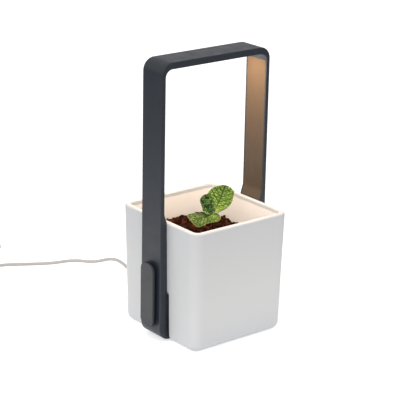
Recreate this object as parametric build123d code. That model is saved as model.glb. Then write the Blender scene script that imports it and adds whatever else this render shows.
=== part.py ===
from build123d import *
import os
from math import hypot, pi, radians, sin, sqrt, tan

# A countertop garden: a white double-walled pot stands over a low base, and a closed dark arch
# with a lamp in its top bar grips the pot from both sides.
# X runs across the arch, Y from the front of the pot to its back, Z up from the table.
# Millimetres. The pieces are drawn about the arch's own middle and moved by origin_shift at the end,
# so that the origin is the bottom centre of the standing object. The cord is drawn in place.

# ---------------------------------------------------------------- driving dimensions
# Pot, measured outside at its rim
pot_width = 120.0
pot_depth = 122.8
pot_height = 127.4
pot_draft = 1.08              # degrees on each side
pot_corner_radius = 10.4
pot_bottom_radius = 8.0
pot_wall = 2.6
rim_width = 5.5
rim_depth = 4.0
rim_outer_round = 2.7
rim_inner_round = 1.2
skirt_gap = 0.4               # from the table to the pot's lower edge
skirt_width = 6.1             # of the edge that the pot turns in at its bottom
skirt_opening_clearance = 0.7  # between the base and the pot's turned-in lower edge

# Slots in the pot's two side walls, open at the bottom, that let the roots of the arch in
slot_side_gap = 2.85
slot_top = 54.0
slot_corner_radius = 2.5
cord_notch_gap = 1.5          # around the strain relief, in the back wall

# Reservoir tub inside the pot
tub_gap = 0.5
tub_top_gap = 0.2
tub_floor = 2.4
tub_outer_radius = 4.0
tub_inner_radius = 3.0

# Arch
arch_reach = 7.5              # from the pot's rim to the legs' outer faces
arch_width = 31.5
arch_top = 288.5
arch_corner_radius = 12.5
arch_inner_radius = 8.0
leg_thickness = 4.1
bar_thickness = 6.7
arch_skin = 1.6
arch_edge_round = 0.8
pot_grip_gap = 0.35
flare_rise = 9.0
flare_radius = 9.0
root_depth = 2.9              # how far a root reaches into the pot's wall
root_top = 50.5
root_shoulder_radius = 2.4
foot_plate_bottom = 2.0
foot_plate_thickness = 2.2
foot_plate_reach = 31.5       # inwards from the outer face of the arch
liner_thickness = 1.4
liner_gap = 0.1
liner_screw_rise = 15.0       # over the middle of the legs' grip on the pot
liner_screw_skin = 0.8        # left between its tip and the outer face
liner_boss_wall = 0.6
foot_screw_inset = 5.0        # from the foot plate's end
foot_screw_y = 9.0

# Lamp in the bar
lamp_window_inset = 19.5      # from each leg's outer face to its end
lamp_window_width = 20.0
diffuser_lip = 1.5
diffuser_lip_thickness = 0.6
led_board_thickness = 1.0
led_board_overlap = 1.0       # over the window's edges
led_end_margin = 7.0          # from the board's end to the middle of a chip
led_size = (3.5, 2.8, 0.8)
led_rows = 2
led_columns = 8
led_row_pitch = 9.0

# Lamp button on the outer face of the near leg
button_width = 20.8
button_height = 69.0
button_centre_z = 49.0
button_corner_radius = 8.5
button_proud = 5.2
button_plate = 2.3
button_plate_round = 0.9
button_inset = 3.0            # of the neck behind the plate
button_gap = 0.4              # between the neck and the leg's opening
button_flange = 1.5
button_flange_thickness = 1.0
button_travel = 1.2
switch_board = (16.0, 14.0, 0.8)  # width, height, thickness
switch_boss_radius = 1.8
switch_body = (6.2, 6.2, 1.7)
switch_plunger_radius = 1.6
leaf_spring = (7.0, 11.0, 0.3)  # width, length, thickness
leaf_spring_offset = 16.0     # from the middle of the button
spring_pad_margin = 0.5

# Base
base_wall = 2.0
base_floor = 2.0
base_corner_radius = 6.0
base_top = 25.7
base_cover_thickness = 2.0
base_cover_tongue = 3.0
tongue_gap = 0.15
tongue_wall = 1.5
cover_edge = 0.8
seat_gap = 0.3                # between pieces that rest on each other and part
base_rubber_radius = 6.0
base_rubber_recess = 0.8
base_rubber_inset = 11.0
board_standoff = 1.5
post_screw_depth = 0.5        # of solid post under a board screw
board_thickness = 1.6
board_size = (68.0, 54.0)
connector = (6.0, 13.0, 4.4)
inlet_block = (9.0, 7.0, 5.0)
board_parts = [               # middle, size and height of the chips and the coil
    ((2.0, -2.0), (9.0, 9.0, 1.6)),
    ((16.0, 8.0), (8.0, 8.0, 3.6)),
    ((14.0, -12.0), (5.0, 6.4, 1.2)),
]
capacitor = (3.2, 7.5)        # radius, height
capacitor_places = [(-14.0, -12.0), (-14.0, -22.0)]
post_radius = 3.0
base_post_setback = 18.0      # from the base's front and back walls
base_post_clearance = 1.0     # from its side walls
board_post_inset = 4.0
screw_radius = 1.25
screw_head_radius = 2.4
screw_head_height = 1.4
screw_socket_radius = 0.85
screw_socket_depth = 0.8
screw_boss_wall = 1.2
foot_screw_length = 6.2
cover_screw_short = 1.0       # from its tip to the cover's lower face
board_screw_radius = 1.0
board_screw_head = (2.2, 1.2)  # radius, height

# Leads inside the housing, flat ribbons
lead_thickness = 0.5
lamp_lead_width = 3.0
lamp_lead_y = 11.2
switch_lead_width = 3.0
switch_lead_y = 6.0
lead_bend_radius = 6.0
lead_hole_half_height = 3.0
lead_hole_gap = 0.5

# Grow basket, soil and plant
basket_gap = 0.6
basket_wall = 1.6
basket_floor = 2.0
basket_bottom = 62.0
basket_height = 30.0
basket_leg_radius = 8.0
basket_leg_wall = 1.8
basket_leg_spread = 30.0
basket_leg_foot = 2.0
basket_leg_taper = 1.5
leg_slot_length = 15.0
floor_slot_pitch = (6.0, 26.0)
floor_slot_columns = 5
floor_slot_rows = 3
drain_slot = (2.2, 15.0)
soil_gap = 0.3
soil_height = 97.5
soil_slope_x = -0.04
soil_slope_y = 0.06
soil_mounds = [               # x, y, height and radius of the larger clods
    (30.0, 47.0, 2.8, 10.0),
    (44.0, 29.0, 3.2, 9.5),
    (48.0, 8.0, 2.6, 8.0),
    (12.0, 49.0, 1.8, 9.0),
    (-8.0, 48.0, 2.0, 10.0),
    (-28.0, 44.0, 1.9, 10.0),
    (-44.0, 29.0, 1.9, 9.0),
    (-44.0, 7.0, 1.9, 9.0),
    (-24.0, 20.0, 2.3, 10.0),
    (-3.0, 27.0, 2.0, 9.0),
    (18.0, 27.0, 1.8, 9.0),
    (28.0, 7.0, 2.4, 9.5),
    (-14.0, -3.0, 2.1, 9.0),
    (-35.0, -13.0, 2.4, 9.5),
    (-46.0, -33.0, 1.9, 8.5),
    (-24.0, -31.0, 2.3, 9.5),
    (-4.0, -21.0, 1.9, 8.5),
    (14.0, -31.0, 2.4, 10.0),
    (34.0, -15.0, 2.2, 9.0),
    (45.0, -33.0, 2.0, 9.0),
    (30.0, -47.0, 1.8, 8.5),
    (3.0, -48.0, 1.9, 9.0),
    (-27.0, -49.0, 1.7, 8.5),
]
wick_gap = 0.5
stem_radius = 1.5
leaf_thickness = 0.8
stem_foot = (9.0, -2.0)
leaf_joint = (11.5, -1.0, 119.0)

# Each leaf: its base seen from the joint, its tip, the way it faces, the radius of its bowl or
# dome, and its outline along and across the line from its base to its tip
tall_leaf_base = (0.9, 0.2, 0.95)
tall_leaf_tip = (29.5, 3.0, 145.0)
tall_leaf_facing = (-0.6, -0.7, 0.45)
tall_leaf_bowl = 34.0
tall_leaf_outline = [
    (0.0, 0.0), (3.0, -7.2), (13.4, -12.5), (24.9, -11.3), (30.3, -3.5),
    (26.5, 7.3), (16.5, 11.6), (8.5, 4.6), (2.8, 0.6),
]
curled_leaf_base = (-0.9, 0.5, 0.95)
curled_leaf_tip = (1.5, 4.5, 137.0)
curled_leaf_facing = (-0.1, -0.75, 0.3)
curled_leaf_bowl = 15.0
curled_leaf_outline = [
    (0.0, 0.0), (2.0, 6.4), (9.0, 8.3), (17.6, 6.4), (21.2, 0.6), (17.5, -5.2), (9.5, -4.8),
    (3.2, -1.4),
]
low_leaf_base = (-1.5, -0.7, -2.2)
low_leaf_tip = (-14.0, -2.0, 112.12)
low_leaf_facing = (-0.2, -0.28, 1.0)
low_leaf_dome = 60.0
low_leaf_outline = [
    (0.3, 1.4), (-5.2, 5.0), (1.5, 9.2), (12.7, 8.1), (22.1, 6.3), (24.4, -1.0),
    (22.0, -12.4), (16.8, -16.8), (10.0, -11.4), (3.4, -4.2),
]

# Cord, plug and strain relief
cord_diameter = 3.5
cord_exit_z = 11.0
relief_length = 24.0
relief_root_radius = 4.0
relief_tip_radius = 2.5
relief_neck_radius = 3.4
relief_flange_radius = 4.5
relief_flange_thickness = 1.5
relief_cuff = 4.0             # the straight start of its sleeve
relief_grooves = 4
relief_groove_start = 7.0
relief_groove_pitch = 4.0
relief_groove_width = 1.4
relief_bridge = 1.6
relief_core_radius = 2.0      # left inside the grooves
inlet_lead_radius = 1.4
coil_centre = (-113.0, 287.0)
coil_inner_turn = 15.0
coil_lower_turns = 4
coil_upper_turns = 3
coil_lift = 0.6
tie_width = 8.0
tie_thickness = 0.5
plug_body = (20.0, 15.6, 7.5)
plug_shell = (14.0, 12.0, 4.5)
plug_shell_wall = 0.4
plug_relief_length = 8.0
plug_relief_radius = 2.9
plug_start_x = -95.5

running_gap = 0.1

# ---------------------------------------------------------------- worked out from them
slope = tan(radians(pot_draft))
origin_shift = button_proud / 2
arch_half_span = pot_width / 2 + arch_reach
leg_inner = arch_half_span - leg_thickness
bar_under = arch_top - bar_thickness
side_inner = arch_width / 2 - arch_skin
liner_half_width = side_inner - liner_gap
foot_plate_top = foot_plate_bottom + foot_plate_thickness
skin_inner = arch_half_span - arch_skin
rim_under = pot_height - rim_depth
lead_end_gap = lead_thickness / 2 + running_gap
lamp_window_length = 2 * (arch_half_span - lamp_window_inset)
led_board_length = lamp_window_length + 2 * led_board_overlap
led_board_width = lamp_window_width + 2 * led_board_overlap
led_column_pitch = (led_board_length - 2 * led_end_margin) / (led_columns - 1)


def pot_half(z, across=pot_width):
    """Half of the pot's outer size at a height, which its draft sets."""
    return across / 2 - (pot_height - z) * slope


def pot_frustum(inset, low, high):
    """A block whose sides stay a fixed distance inside the pot's outer faces."""
    radius = max(pot_corner_radius - inset, 1.5)
    ends = [
        Pos(0, 0, z)
        * RectangleRounded(
            2 * (pot_half(z) - inset), 2 * (pot_half(z, pot_depth) - inset), radius
        )
        for z in (low, high)
    ]
    return loft(Sketch() + ends)


def box_between(low, high):
    size = [b - a for a, b in zip(low, high)]
    middle = [(a + b) / 2 for a, b in zip(low, high)]
    return Pos(*middle) * Box(*size)


def upright_slot(width, height, radius, x_low, x_high, centre_z):
    """A rounded plate that stands in the YZ plane, from x_low to x_high."""
    outline = Plane.YZ * Pos(0, centre_z) * RectangleRounded(width, height, radius)
    return Pos(x_low, 0, 0) * extrude(outline, x_high - x_low)


def in_xz(points, rounds=()):
    """A face in the XZ plane from a list of corners, some of them rounded."""
    face = Plane.XZ * make_face(Polyline(*points, close=True))
    for (x, z), radius in rounds:
        corner = face.vertices().sort_by_distance((x, 0, z))[0]
        face = fillet(corner, radius)
    return face


def slab(face, y_low, y_high):
    """Carries a face in the XZ plane from y_low to y_high."""
    return Pos(0, y_high, 0) * extrude(face, y_high - y_low)


def ribbon(points, radii, y_middle, width):
    """A flat lead that keeps one thickness along a route in the XZ plane."""
    route = FilletPolyline(*points, radius=radii)
    strip = Plane.XZ * make_face(offset(route, lead_thickness / 2, side=Side.BOTH))
    return slab(strip, y_middle - width / 2, y_middle + width / 2)


def screw(position, direction, length):
    """A countersunk screw whose head's face is at position; direction leads into the joint."""
    plane = Plane(origin=position, z_dir=direction)
    head = Cone(
        screw_head_radius,
        screw_radius,
        screw_head_height,
        align=(Align.CENTER, Align.CENTER, Align.MIN),
    )
    shank = Pos(0, 0, screw_head_height - 0.01) * Cylinder(
        screw_radius,
        length - screw_head_height,
        align=(Align.CENTER, Align.CENTER, Align.MIN),
    )
    socket = extrude(RegularPolygon(screw_socket_radius, 6), screw_socket_depth)
    return plane * (head + shank - socket)


def screw_seat(position, direction, length):
    """The hole that a screw leaves, with a running gap all round."""
    plane = Plane(origin=position, z_dir=direction)
    head = Pos(0, 0, -1) * Cylinder(
        screw_head_radius + running_gap,
        1 + running_gap,
        align=(Align.CENTER, Align.CENTER, Align.MIN),
    )
    cone = Cone(
        screw_head_radius + running_gap,
        screw_radius + running_gap,
        screw_head_height + running_gap,
        align=(Align.CENTER, Align.CENTER, Align.MIN),
    )
    shank = Cylinder(
        screw_radius + running_gap,
        length + running_gap,
        align=(Align.CENTER, Align.CENTER, Align.MIN),
    )
    return plane * (head + cone + shank)


# ---------------------------------------------------------------- pot and reservoir
def make_planter_shell():
    outside = pot_frustum(0, skirt_gap, pot_height)
    outside = fillet(outside.edges().group_by(Axis.Z)[0], pot_bottom_radius)
    outside = fillet(outside.edges().group_by(Axis.Z)[-1], rim_outer_round)

    hollow = pot_frustum(pot_wall, skirt_gap + pot_wall, rim_under)
    hollow = fillet(
        hollow.edges().group_by(Axis.Z)[0], pot_bottom_radius - pot_wall
    )
    mouth = pot_frustum(rim_width, rim_under - 1, pot_height + 1)
    skirt_mouth = Pos(0, 0, -1) * extrude(base_outline(skirt_opening_clearance), 10)
    shell = outside - hollow - mouth - skirt_mouth

    inner_rim = [
        edge
        for edge in shell.edges().group_by(Axis.Z)[-1]
        if abs(edge.center().X) < pot_half(pot_height) - rim_width + 1
        and abs(edge.center().Y) < pot_half(pot_height, pot_depth) - rim_width + 1
    ]
    shell = fillet(inner_rim, rim_inner_round)

    slot = (
        Plane.YZ
        * Rectangle(arch_width + 2 * slot_side_gap, 2 * slot_top)
    )
    upper = slot.vertices().group_by(Axis.Z)[-1]
    slot = fillet(upper, slot_corner_radius)
    shell -= Pos(-pot_width, 0, 0) * extrude(slot, 2 * pot_width)

    notch_radius = relief_root_radius + cord_notch_gap
    notch = Plane.XZ * (
        Pos(0, cord_exit_z) * Circle(notch_radius)
        + Rectangle(2 * notch_radius, 2 * cord_exit_z)
    )
    shell -= slab(notch, pot_depth / 4, pot_depth)
    return shell


def make_reservoir_tub():
    low = base_top + seat_gap
    outer_inset = pot_wall + tub_gap
    high = rim_under - tub_top_gap
    outside = pot_frustum(outer_inset, low, high)
    outside = fillet(outside.edges().group_by(Axis.Z)[0], tub_outer_radius)
    inside = pot_frustum(rim_width, low + tub_floor, high + 1)
    inside = fillet(inside.edges().group_by(Axis.Z)[0], tub_inner_radius)
    return outside - inside


# ---------------------------------------------------------------- arch
def arch_outline():
    """The arch seen from the front, with the legs, the roots and the foot plates."""
    wall_x = base_half_x() + seat_gap
    root_x = pot_half(root_top) - root_depth
    grip_low = pot_half(root_top) + pot_grip_gap
    grip_high = pot_half(pot_height) + pot_grip_gap
    plate_end = arch_half_span - foot_plate_reach
    half = in_xz(
        [
            (0, arch_top),
            (-arch_half_span, arch_top),
            (-arch_half_span, foot_plate_bottom),
            (-plate_end, foot_plate_bottom),
            (-plate_end, foot_plate_top),
            (-wall_x, foot_plate_top),
            (-wall_x, root_bend_z()),
            (-root_x, root_bend_z() + root_x - wall_x),
            (-root_x, root_top),
            (-grip_low, root_top),
            (-grip_high, pot_height),
            (-leg_inner, pot_height + flare_rise),
            (-leg_inner, bar_under),
            (0, bar_under),
        ],
        [
            ((-arch_half_span, arch_top), arch_corner_radius),
            ((-arch_half_span, foot_plate_bottom), arch_corner_radius),
            ((-root_x, root_top), root_shoulder_radius),
            ((-grip_high, pot_height), flare_radius),
            ((-leg_inner, pot_height + flare_rise), flare_radius),
            ((-leg_inner, bar_under), arch_inner_radius),
        ],
    )
    return half + mirror(half, Plane.YZ)


def root_bend_z():
    return base_top - base_cover_thickness


def arch_void():
    """Everything inside the arch: the window above, and the room for pot and base below."""
    frame = in_xz(
        [
            (-arch_half_span - 5, foot_plate_top),
            (arch_half_span + 5, foot_plate_top),
            (arch_half_span + 5, bar_under + bar_thickness / 2),
            (-arch_half_span - 5, bar_under + bar_thickness / 2),
        ]
    )
    pieces = (frame - arch_outline()).faces().sort_by(Axis.X)
    middle = [face for face in pieces if abs(face.center().X) < 1]
    return Sketch() + middle


def liner_band():
    """The arch's inner skin, which the leg covers and the lamp bezel share."""
    void = arch_void()
    band = offset(void, liner_thickness) - void
    return band


def inside_skin(z_low, z_high):
    """The room behind the arch's outer skin, between two heights."""
    x = skin_inner - liner_gap
    room = in_xz([(-x, z_low), (x, z_low), (x, z_high), (-x, z_high)])
    return room


def make_arch_shell():
    body = slab(arch_outline(), -arch_width / 2, arch_width / 2)
    outer_edges = [
        edge
        for edge in body.edges()
        if abs(abs(edge.center().Y) - arch_width / 2) < 0.01 and on_outer_side(edge)
    ]
    body = fillet(outer_edges, arch_edge_round)

    x, top = skin_inner, arch_top - arch_skin
    room = in_xz(
        [(-x, foot_plate_top), (x, foot_plate_top), (x, top), (-x, top)],
        [
            ((-x, foot_plate_top), arch_corner_radius - foot_plate_thickness),
            ((x, foot_plate_top), arch_corner_radius - foot_plate_thickness),
            ((-x, top), arch_corner_radius - arch_skin),
            ((x, top), arch_corner_radius - arch_skin),
        ],
    )
    shell = body - slab(room, -side_inner, side_inner)
    shell -= upright_slot(
        button_width - 2 * button_inset + 2 * button_gap,
        button_height - 2 * button_inset + 2 * button_gap,
        button_corner_radius - button_inset + button_gap,
        -arch_half_span - 1,
        -skin_inner + 1,
        button_centre_z,
    )
    for position in foot_screw_places():
        shell -= screw_seat(position, (0, 0, 1), foot_screw_length)
    for side in (-1, 1):
        boss = liner_boss(side)
        shell += boss
        shell -= screw_seat(liner_screw_place(side), (side, 0, 0), liner_screw_length())
    return shell


def on_outer_side(edge):
    """Whether an edge of the arch belongs to its outer outline."""
    p = edge @ 0.5
    return (
        p.Z > arch_top - arch_corner_radius - 0.01
        and p.Z > bar_under + 0.01
        and (abs(p.X) < arch_half_span - arch_corner_radius or outside_inner_arc(p))
        or abs(p.X) > arch_half_span - 0.01
        or p.Z < foot_plate_bottom + 0.01
        or p.Z < foot_plate_bottom + arch_corner_radius
        and abs(p.X) > arch_half_span - arch_corner_radius
    )


def outside_inner_arc(p):
    centre_x = arch_half_span - arch_corner_radius
    centre_z = arch_top - arch_corner_radius
    return hypot(abs(p.X) - centre_x, p.Z - centre_z) > arch_corner_radius - 0.1


def foot_screw_places():
    x = arch_half_span - foot_plate_reach + foot_screw_inset
    return [
        (side * x, y, foot_plate_bottom)
        for side in (-1, 1)
        for y in (-foot_screw_y, foot_screw_y)
    ]


def liner_screw_height():
    return (root_top + pot_height) / 2 + liner_screw_rise


def liner_screw_place(side):
    z = liner_screw_height()
    return (side * (pot_half(z) + pot_grip_gap), 0, z)


def liner_screw_length():
    z = liner_screw_height()
    return arch_half_span - liner_screw_skin - pot_half(z) - pot_grip_gap


def liner_boss(side):
    z = liner_screw_height()
    inner = pot_half(z) + pot_grip_gap + liner_thickness + running_gap
    length = skin_inner - inner + 0.01
    boss = Cylinder(
        screw_head_radius + liner_boss_wall,
        length,
        rotation=(0, 90, 0),
        align=(Align.CENTER, Align.CENTER, Align.CENTER),
    )
    return Pos(side * (inner + length / 2), 0, z) * boss


def make_leg_cover(side):
    """The inner skin of one leg, from the base to just under the lamp bezel."""
    low = foot_plate_top + liner_gap
    high = bar_under - arch_inner_radius - liner_gap
    face = liner_band() & inside_skin(low, high)
    cover = slab(face, -liner_half_width, liner_half_width)
    cover &= box_between(
        (0 if side > 0 else -arch_half_span, -arch_width, 0),
        (arch_half_span if side > 0 else 0, arch_width, arch_top),
    )
    cover -= screw_seat(liner_screw_place(side), (side, 0, 0), liner_screw_length())
    if side < 0:
        cover -= lead_hole(-pot_half(0), -base_half_x())
        cover += button_seats()
    return cover


def lead_hole(x_low, x_high):
    """The opening that both leads share, through the near leg's cover and the base's wall."""
    return box_between(
        (
            x_low,
            switch_lead_y - switch_lead_width / 2 - lead_hole_gap,
            cord_exit_z - lead_hole_half_height,
        ),
        (
            x_high,
            lamp_lead_y + lamp_lead_width / 2 + lead_hole_gap,
            cord_exit_z + lead_hole_half_height,
        ),
    )


def make_lamp_bezel():
    face = liner_band() & inside_skin(
        bar_under - arch_inner_radius, arch_top - arch_skin - liner_gap
    )
    bezel = slab(face, -liner_half_width, liner_half_width)
    window = box_between(
        (-lamp_window_length / 2, -lamp_window_width / 2, bar_under - 1),
        (lamp_window_length / 2, lamp_window_width / 2, bar_under + 5),
    )
    return bezel - window


def make_lamp_diffuser():
    gap = running_gap
    pane = box_between(
        (-lamp_window_length / 2 + gap, -lamp_window_width / 2 + gap, bar_under),
        (
            lamp_window_length / 2 - gap,
            lamp_window_width / 2 - gap,
            bar_under + liner_thickness + 0.05,
        ),
    )
    lip_low = bar_under + liner_thickness + 0.05
    lip = box_between(
        (
            -lamp_window_length / 2 - diffuser_lip,
            -lamp_window_width / 2 - diffuser_lip,
            lip_low,
        ),
        (
            lamp_window_length / 2 + diffuser_lip,
            lamp_window_width / 2 + diffuser_lip,
            lip_low + diffuser_lip_thickness,
        ),
    )
    return pane + lip


def led_board_top():
    return arch_top - arch_skin - running_gap


def make_led_board():
    top = led_board_top()
    return box_between(
        (-led_board_length / 2, -led_board_width / 2, top - led_board_thickness),
        (led_board_length / 2, led_board_width / 2, top),
    )


def make_led_chips():
    length, width, height = led_size
    top = led_board_top() - led_board_thickness
    return [
        Pos(
            (column - (led_columns - 1) / 2) * led_column_pitch,
            (row - (led_rows - 1) / 2) * led_row_pitch,
            top - height / 2,
        )
        * Box(length, width, height)
        for row in range(led_rows)
        for column in range(led_columns)
    ]


def make_lamp_lead():
    x = skin_inner - lead_thickness / 2 - running_gap
    z = arch_top - arch_skin - lead_thickness / 2 - running_gap
    corner = arch_corner_radius - arch_skin - lead_thickness / 2 - running_gap
    return ribbon(
        [
            (-board_half_x() - lead_end_gap, cord_exit_z),
            (-x, cord_exit_z),
            (-x, z),
            (-led_board_length / 2 - lead_end_gap, z),
        ],
        (lead_bend_radius, corner),
        lamp_lead_y,
        lamp_lead_width,
    )


# ---------------------------------------------------------------- lamp button
def button_depths():
    """X of the button's front, the back of its plate, and both faces of its flange."""
    front = -arch_half_span - button_proud
    plate_back = front + button_plate
    flange_front = -skin_inner + running_gap
    return front, plate_back, flange_front, flange_front + button_flange_thickness


def make_lamp_button():
    front, plate_back, flange_front, flange_back = button_depths()
    plate = upright_slot(
        button_width,
        button_height,
        button_corner_radius,
        front,
        plate_back,
        button_centre_z,
    )
    plate = fillet(plate.edges().group_by(Axis.X)[0], button_plate_round)
    neck = upright_slot(
        button_width - 2 * button_inset,
        button_height - 2 * button_inset,
        button_corner_radius - button_inset,
        plate_back - 0.01,
        flange_front + 0.01,
        button_centre_z,
    )
    flange = upright_slot(
        button_width - 2 * button_inset + 2 * button_flange,
        button_height - 2 * button_inset + 2 * button_flange,
        button_corner_radius - button_inset + button_flange,
        flange_front,
        flange_back,
        button_centre_z,
    )
    return plate + neck + flange


def cover_face_x(z):
    """X of the near leg cover's hidden face, which carries the switch and the springs."""
    return -(pot_half(z) + pot_grip_gap + liner_thickness)


def switch_board_x():
    """X of the back of the switch board, which rests on the leg cover."""
    return cover_face_x(button_centre_z + switch_board[1] / 2) - running_gap


def make_switch_board():
    width, height, thickness = switch_board
    x = switch_board_x()
    z = button_centre_z
    return box_between(
        (x - thickness, -width / 2, z - height / 2), (x, width / 2, z + height / 2)
    )


def make_tact_switch():
    width, height, thickness = switch_body
    back = switch_board_x() - switch_board[2]
    front = back - thickness
    body = box_between(
        (front, -width / 2, button_centre_z - height / 2),
        (back, width / 2, button_centre_z + height / 2),
    )
    tip = button_depths()[3] + button_travel + running_gap
    plunger = Pos((front + tip) / 2, 0, button_centre_z) * Cylinder(
        switch_plunger_radius, abs(front - tip) + 0.02, rotation=(0, 90, 0)
    )
    return body + plunger


def spring_seat_x():
    """X of the seats of both springs on the near leg's cover."""
    return cover_face_x(button_centre_z + leaf_spring_offset - leaf_spring[1] / 2)


def make_button_springs():
    """Two bowed leaf springs between the button's flange and their seats on the leg cover."""
    width, length, thickness = leaf_spring
    front = button_depths()[3] + running_gap + thickness / 2
    back = spring_seat_x() - running_gap - thickness
    springs = []
    for side in (-1, 1):
        z = button_centre_z + side * leaf_spring_offset
        arc = ThreePointArc(
            (back, z - length / 2), (front, z), (back, z + length / 2)
        )
        strip = Plane.XZ * make_face(offset(arc, thickness / 2, side=Side.BOTH))
        springs.append(slab(strip, -width / 2, width / 2))
    return springs


def button_seats():
    """What the near leg's cover carries behind the button: two bosses under the switch
    board and a pad under the lower spring, where the cover lies deeper in the root."""
    width, length, _ = leaf_spring
    hidden = pot_half(root_top) - root_depth + liner_thickness / 2
    z = button_centre_z - leaf_spring_offset
    seats = box_between(
        (
            spring_seat_x(),
            -width / 2 - spring_pad_margin,
            z - length / 2 - spring_pad_margin,
        ),
        (-hidden, width / 2 + spring_pad_margin, z + length / 2 + spring_pad_margin),
    )
    board_x = switch_board_x()
    for y in (-switch_lead_y, switch_lead_y):
        boss = Pos((board_x - hidden) / 2, y, button_centre_z - switch_board[1] / 4)
        seats += boss * Cylinder(
            switch_boss_radius, abs(board_x) - hidden, rotation=(0, 90, 0)
        )
    return seats


def make_switch_lead():
    x = switch_board_x() - switch_board[2] / 2
    return ribbon(
        [
            (-board_half_x() - lead_end_gap, cord_exit_z),
            (x, cord_exit_z),
            (x, button_centre_z - switch_board[1] / 2 - lead_end_gap),
        ],
        (lead_bend_radius,),
        switch_lead_y,
        switch_lead_width,
    )


# ---------------------------------------------------------------- base
def skirt_mouth_half(across):
    """Half of the opening in the pot's turned-in lower edge."""
    return pot_half(skirt_gap, across) - skirt_width


def base_half_x():
    return skirt_mouth_half(pot_width) - skirt_opening_clearance


def base_half_y():
    return skirt_mouth_half(pot_depth) - skirt_opening_clearance


def base_outline(grow=0.0):
    return RectangleRounded(
        2 * (base_half_x() + grow),
        2 * (base_half_y() + grow),
        base_corner_radius + grow,
    )


def board_half_x():
    return board_size[0] / 2


def base_post_places():
    x = base_half_x() - base_wall - post_radius - base_post_clearance
    y = base_half_y() - base_wall - post_radius - base_post_setback
    return [(sx * x, sy * y) for sx in (-1, 1) for sy in (-1, 1)]


def board_post_places():
    x = board_half_x() - board_post_inset
    y = board_size[1] / 2 - board_post_inset
    return [(sx * x, sy * y) for sx in (-1, 1) for sy in (-1, 1)]


def rubber_places():
    x = base_half_x() - base_rubber_inset
    y = base_half_y() - base_rubber_inset
    return [(sx * x, sy * y) for sx in (-1, 1) for sy in (-1, 1)]


def post(x, y, low, high, radius=post_radius):
    return Pos(x, y, (low + high) / 2) * Cylinder(radius, high - low)


def make_base_tray():
    low, high = foot_plate_top, base_top - base_cover_thickness
    floor_top = low + base_floor
    tray = extrude(Pos(0, 0, low) * base_outline(), high - low)
    tray -= extrude(Pos(0, 0, floor_top) * base_outline(-base_wall), high)
    for x, y in base_post_places():
        tray += post(x, y, floor_top - 0.01, high - base_cover_tongue - 3)
        tray -= screw_seat((x, y, low), (0, 0, 1), high - low)
    for x, y in board_post_places():
        tray += post(x, y, floor_top - 0.01, floor_top + board_standoff)
        tray -= post(x, y, floor_top + post_screw_depth - 0.1, high, screw_radius)
    for x, y, head in foot_screw_places():
        tip = head + foot_screw_length
        tray += post(x, y, floor_top - 0.01, tip + 0.8, screw_radius + screw_boss_wall)
        tray -= post(x, y, low - 1, tip + running_gap, screw_radius + running_gap)
    for x, y in rubber_places():
        tray -= post(x, y, low - 1, low + base_rubber_recess, base_rubber_radius + 0.1)
    tray -= lead_hole(-base_half_x() - 1, -base_half_x() + base_wall + 1)
    tray -= Pos(0, base_half_y(), cord_exit_z) * Cylinder(
        relief_neck_radius + running_gap, 4 * base_wall, rotation=(90, 0, 0)
    )
    return tray


def make_base_cover():
    low = base_top - base_cover_thickness
    plate = extrude(Pos(0, 0, low) * base_outline(), base_cover_thickness)
    plate = chamfer(plate.edges().group_by(Axis.Z)[-1], cover_edge)
    tongue_z = low - base_cover_tongue
    tongue = extrude(
        Pos(0, 0, tongue_z) * base_outline(-base_wall - tongue_gap), base_cover_tongue + 0.01
    ) - extrude(
        Pos(0, 0, tongue_z - 1) * base_outline(-base_wall - tongue_gap - tongue_wall), base_cover_tongue + 1
    )
    cover = plate + tongue
    for x, y in base_post_places():
        cover += post(x, y, low - base_cover_tongue - 2.9, low + 0.01)
        cover -= post(x, y, low - 10, low - 0.5, screw_radius + running_gap)
    return cover


def make_base_feet():
    return [
        post(x, y, 0, foot_plate_top + base_rubber_recess, base_rubber_radius)
        for x, y in rubber_places()
    ]


def make_control_board():
    low = foot_plate_top + base_floor + board_standoff
    board = Pos(0, 0, low + board_thickness / 2) * Box(*board_size, board_thickness)
    for x, y in board_post_places():
        board -= post(x, y, low - 1, low + 3, screw_radius + running_gap)
    return board


def board_top():
    return foot_plate_top + base_floor + board_standoff + board_thickness


def make_board_components():
    """Connectors at the board's edges, driver chip, capacitors and coil."""
    z = board_top()
    connector_x = connector[0] / 2 - board_half_x()
    connector_y = (switch_lead_y + lamp_lead_y) / 2
    inlet_y = board_size[1] / 2 - inlet_block[1] / 2
    parts = [((connector_x, connector_y), connector), ((0, inlet_y), inlet_block)]
    radius, height = capacitor
    return [
        Pos(x, y, z + size[2] / 2) * Box(*size) for (x, y), size in parts + board_parts
    ] + [post(x, y, z, z + height, radius) for x, y in capacitor_places]


def make_strain_relief():
    """Flange, neck and ribbed tapering sleeve, turned about the cord's axis."""
    wall_out = base_half_y()
    wall_in = wall_out - base_wall
    start = wall_in - relief_flange_thickness - running_gap
    tip = wall_out + relief_length
    sleeve = Polyline(
        (0, start),
        (relief_flange_radius, start),
        (relief_flange_radius, wall_in - running_gap),
        (relief_neck_radius, wall_in - running_gap),
        (relief_neck_radius, wall_out + running_gap),
        (relief_root_radius, wall_out + running_gap),
        (relief_root_radius, wall_out + relief_cuff),
        (relief_tip_radius, tip),
        (0, tip),
        close=True,
    )
    turned = revolve(make_face(sleeve), Axis.Y)
    for step in range(relief_grooves):
        y = wall_out + relief_groove_start + step * relief_groove_pitch
        ring = Plane.XZ * (Circle(relief_root_radius + 1) - Circle(relief_core_radius))
        bridge = Plane.XZ * Rectangle(relief_bridge, 3 * relief_root_radius)
        turned -= Pos(0, y, 0) * extrude(ring - bridge, relief_groove_width / 2, both=True)
    return Pos(0, 0, cord_exit_z) * turned


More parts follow.
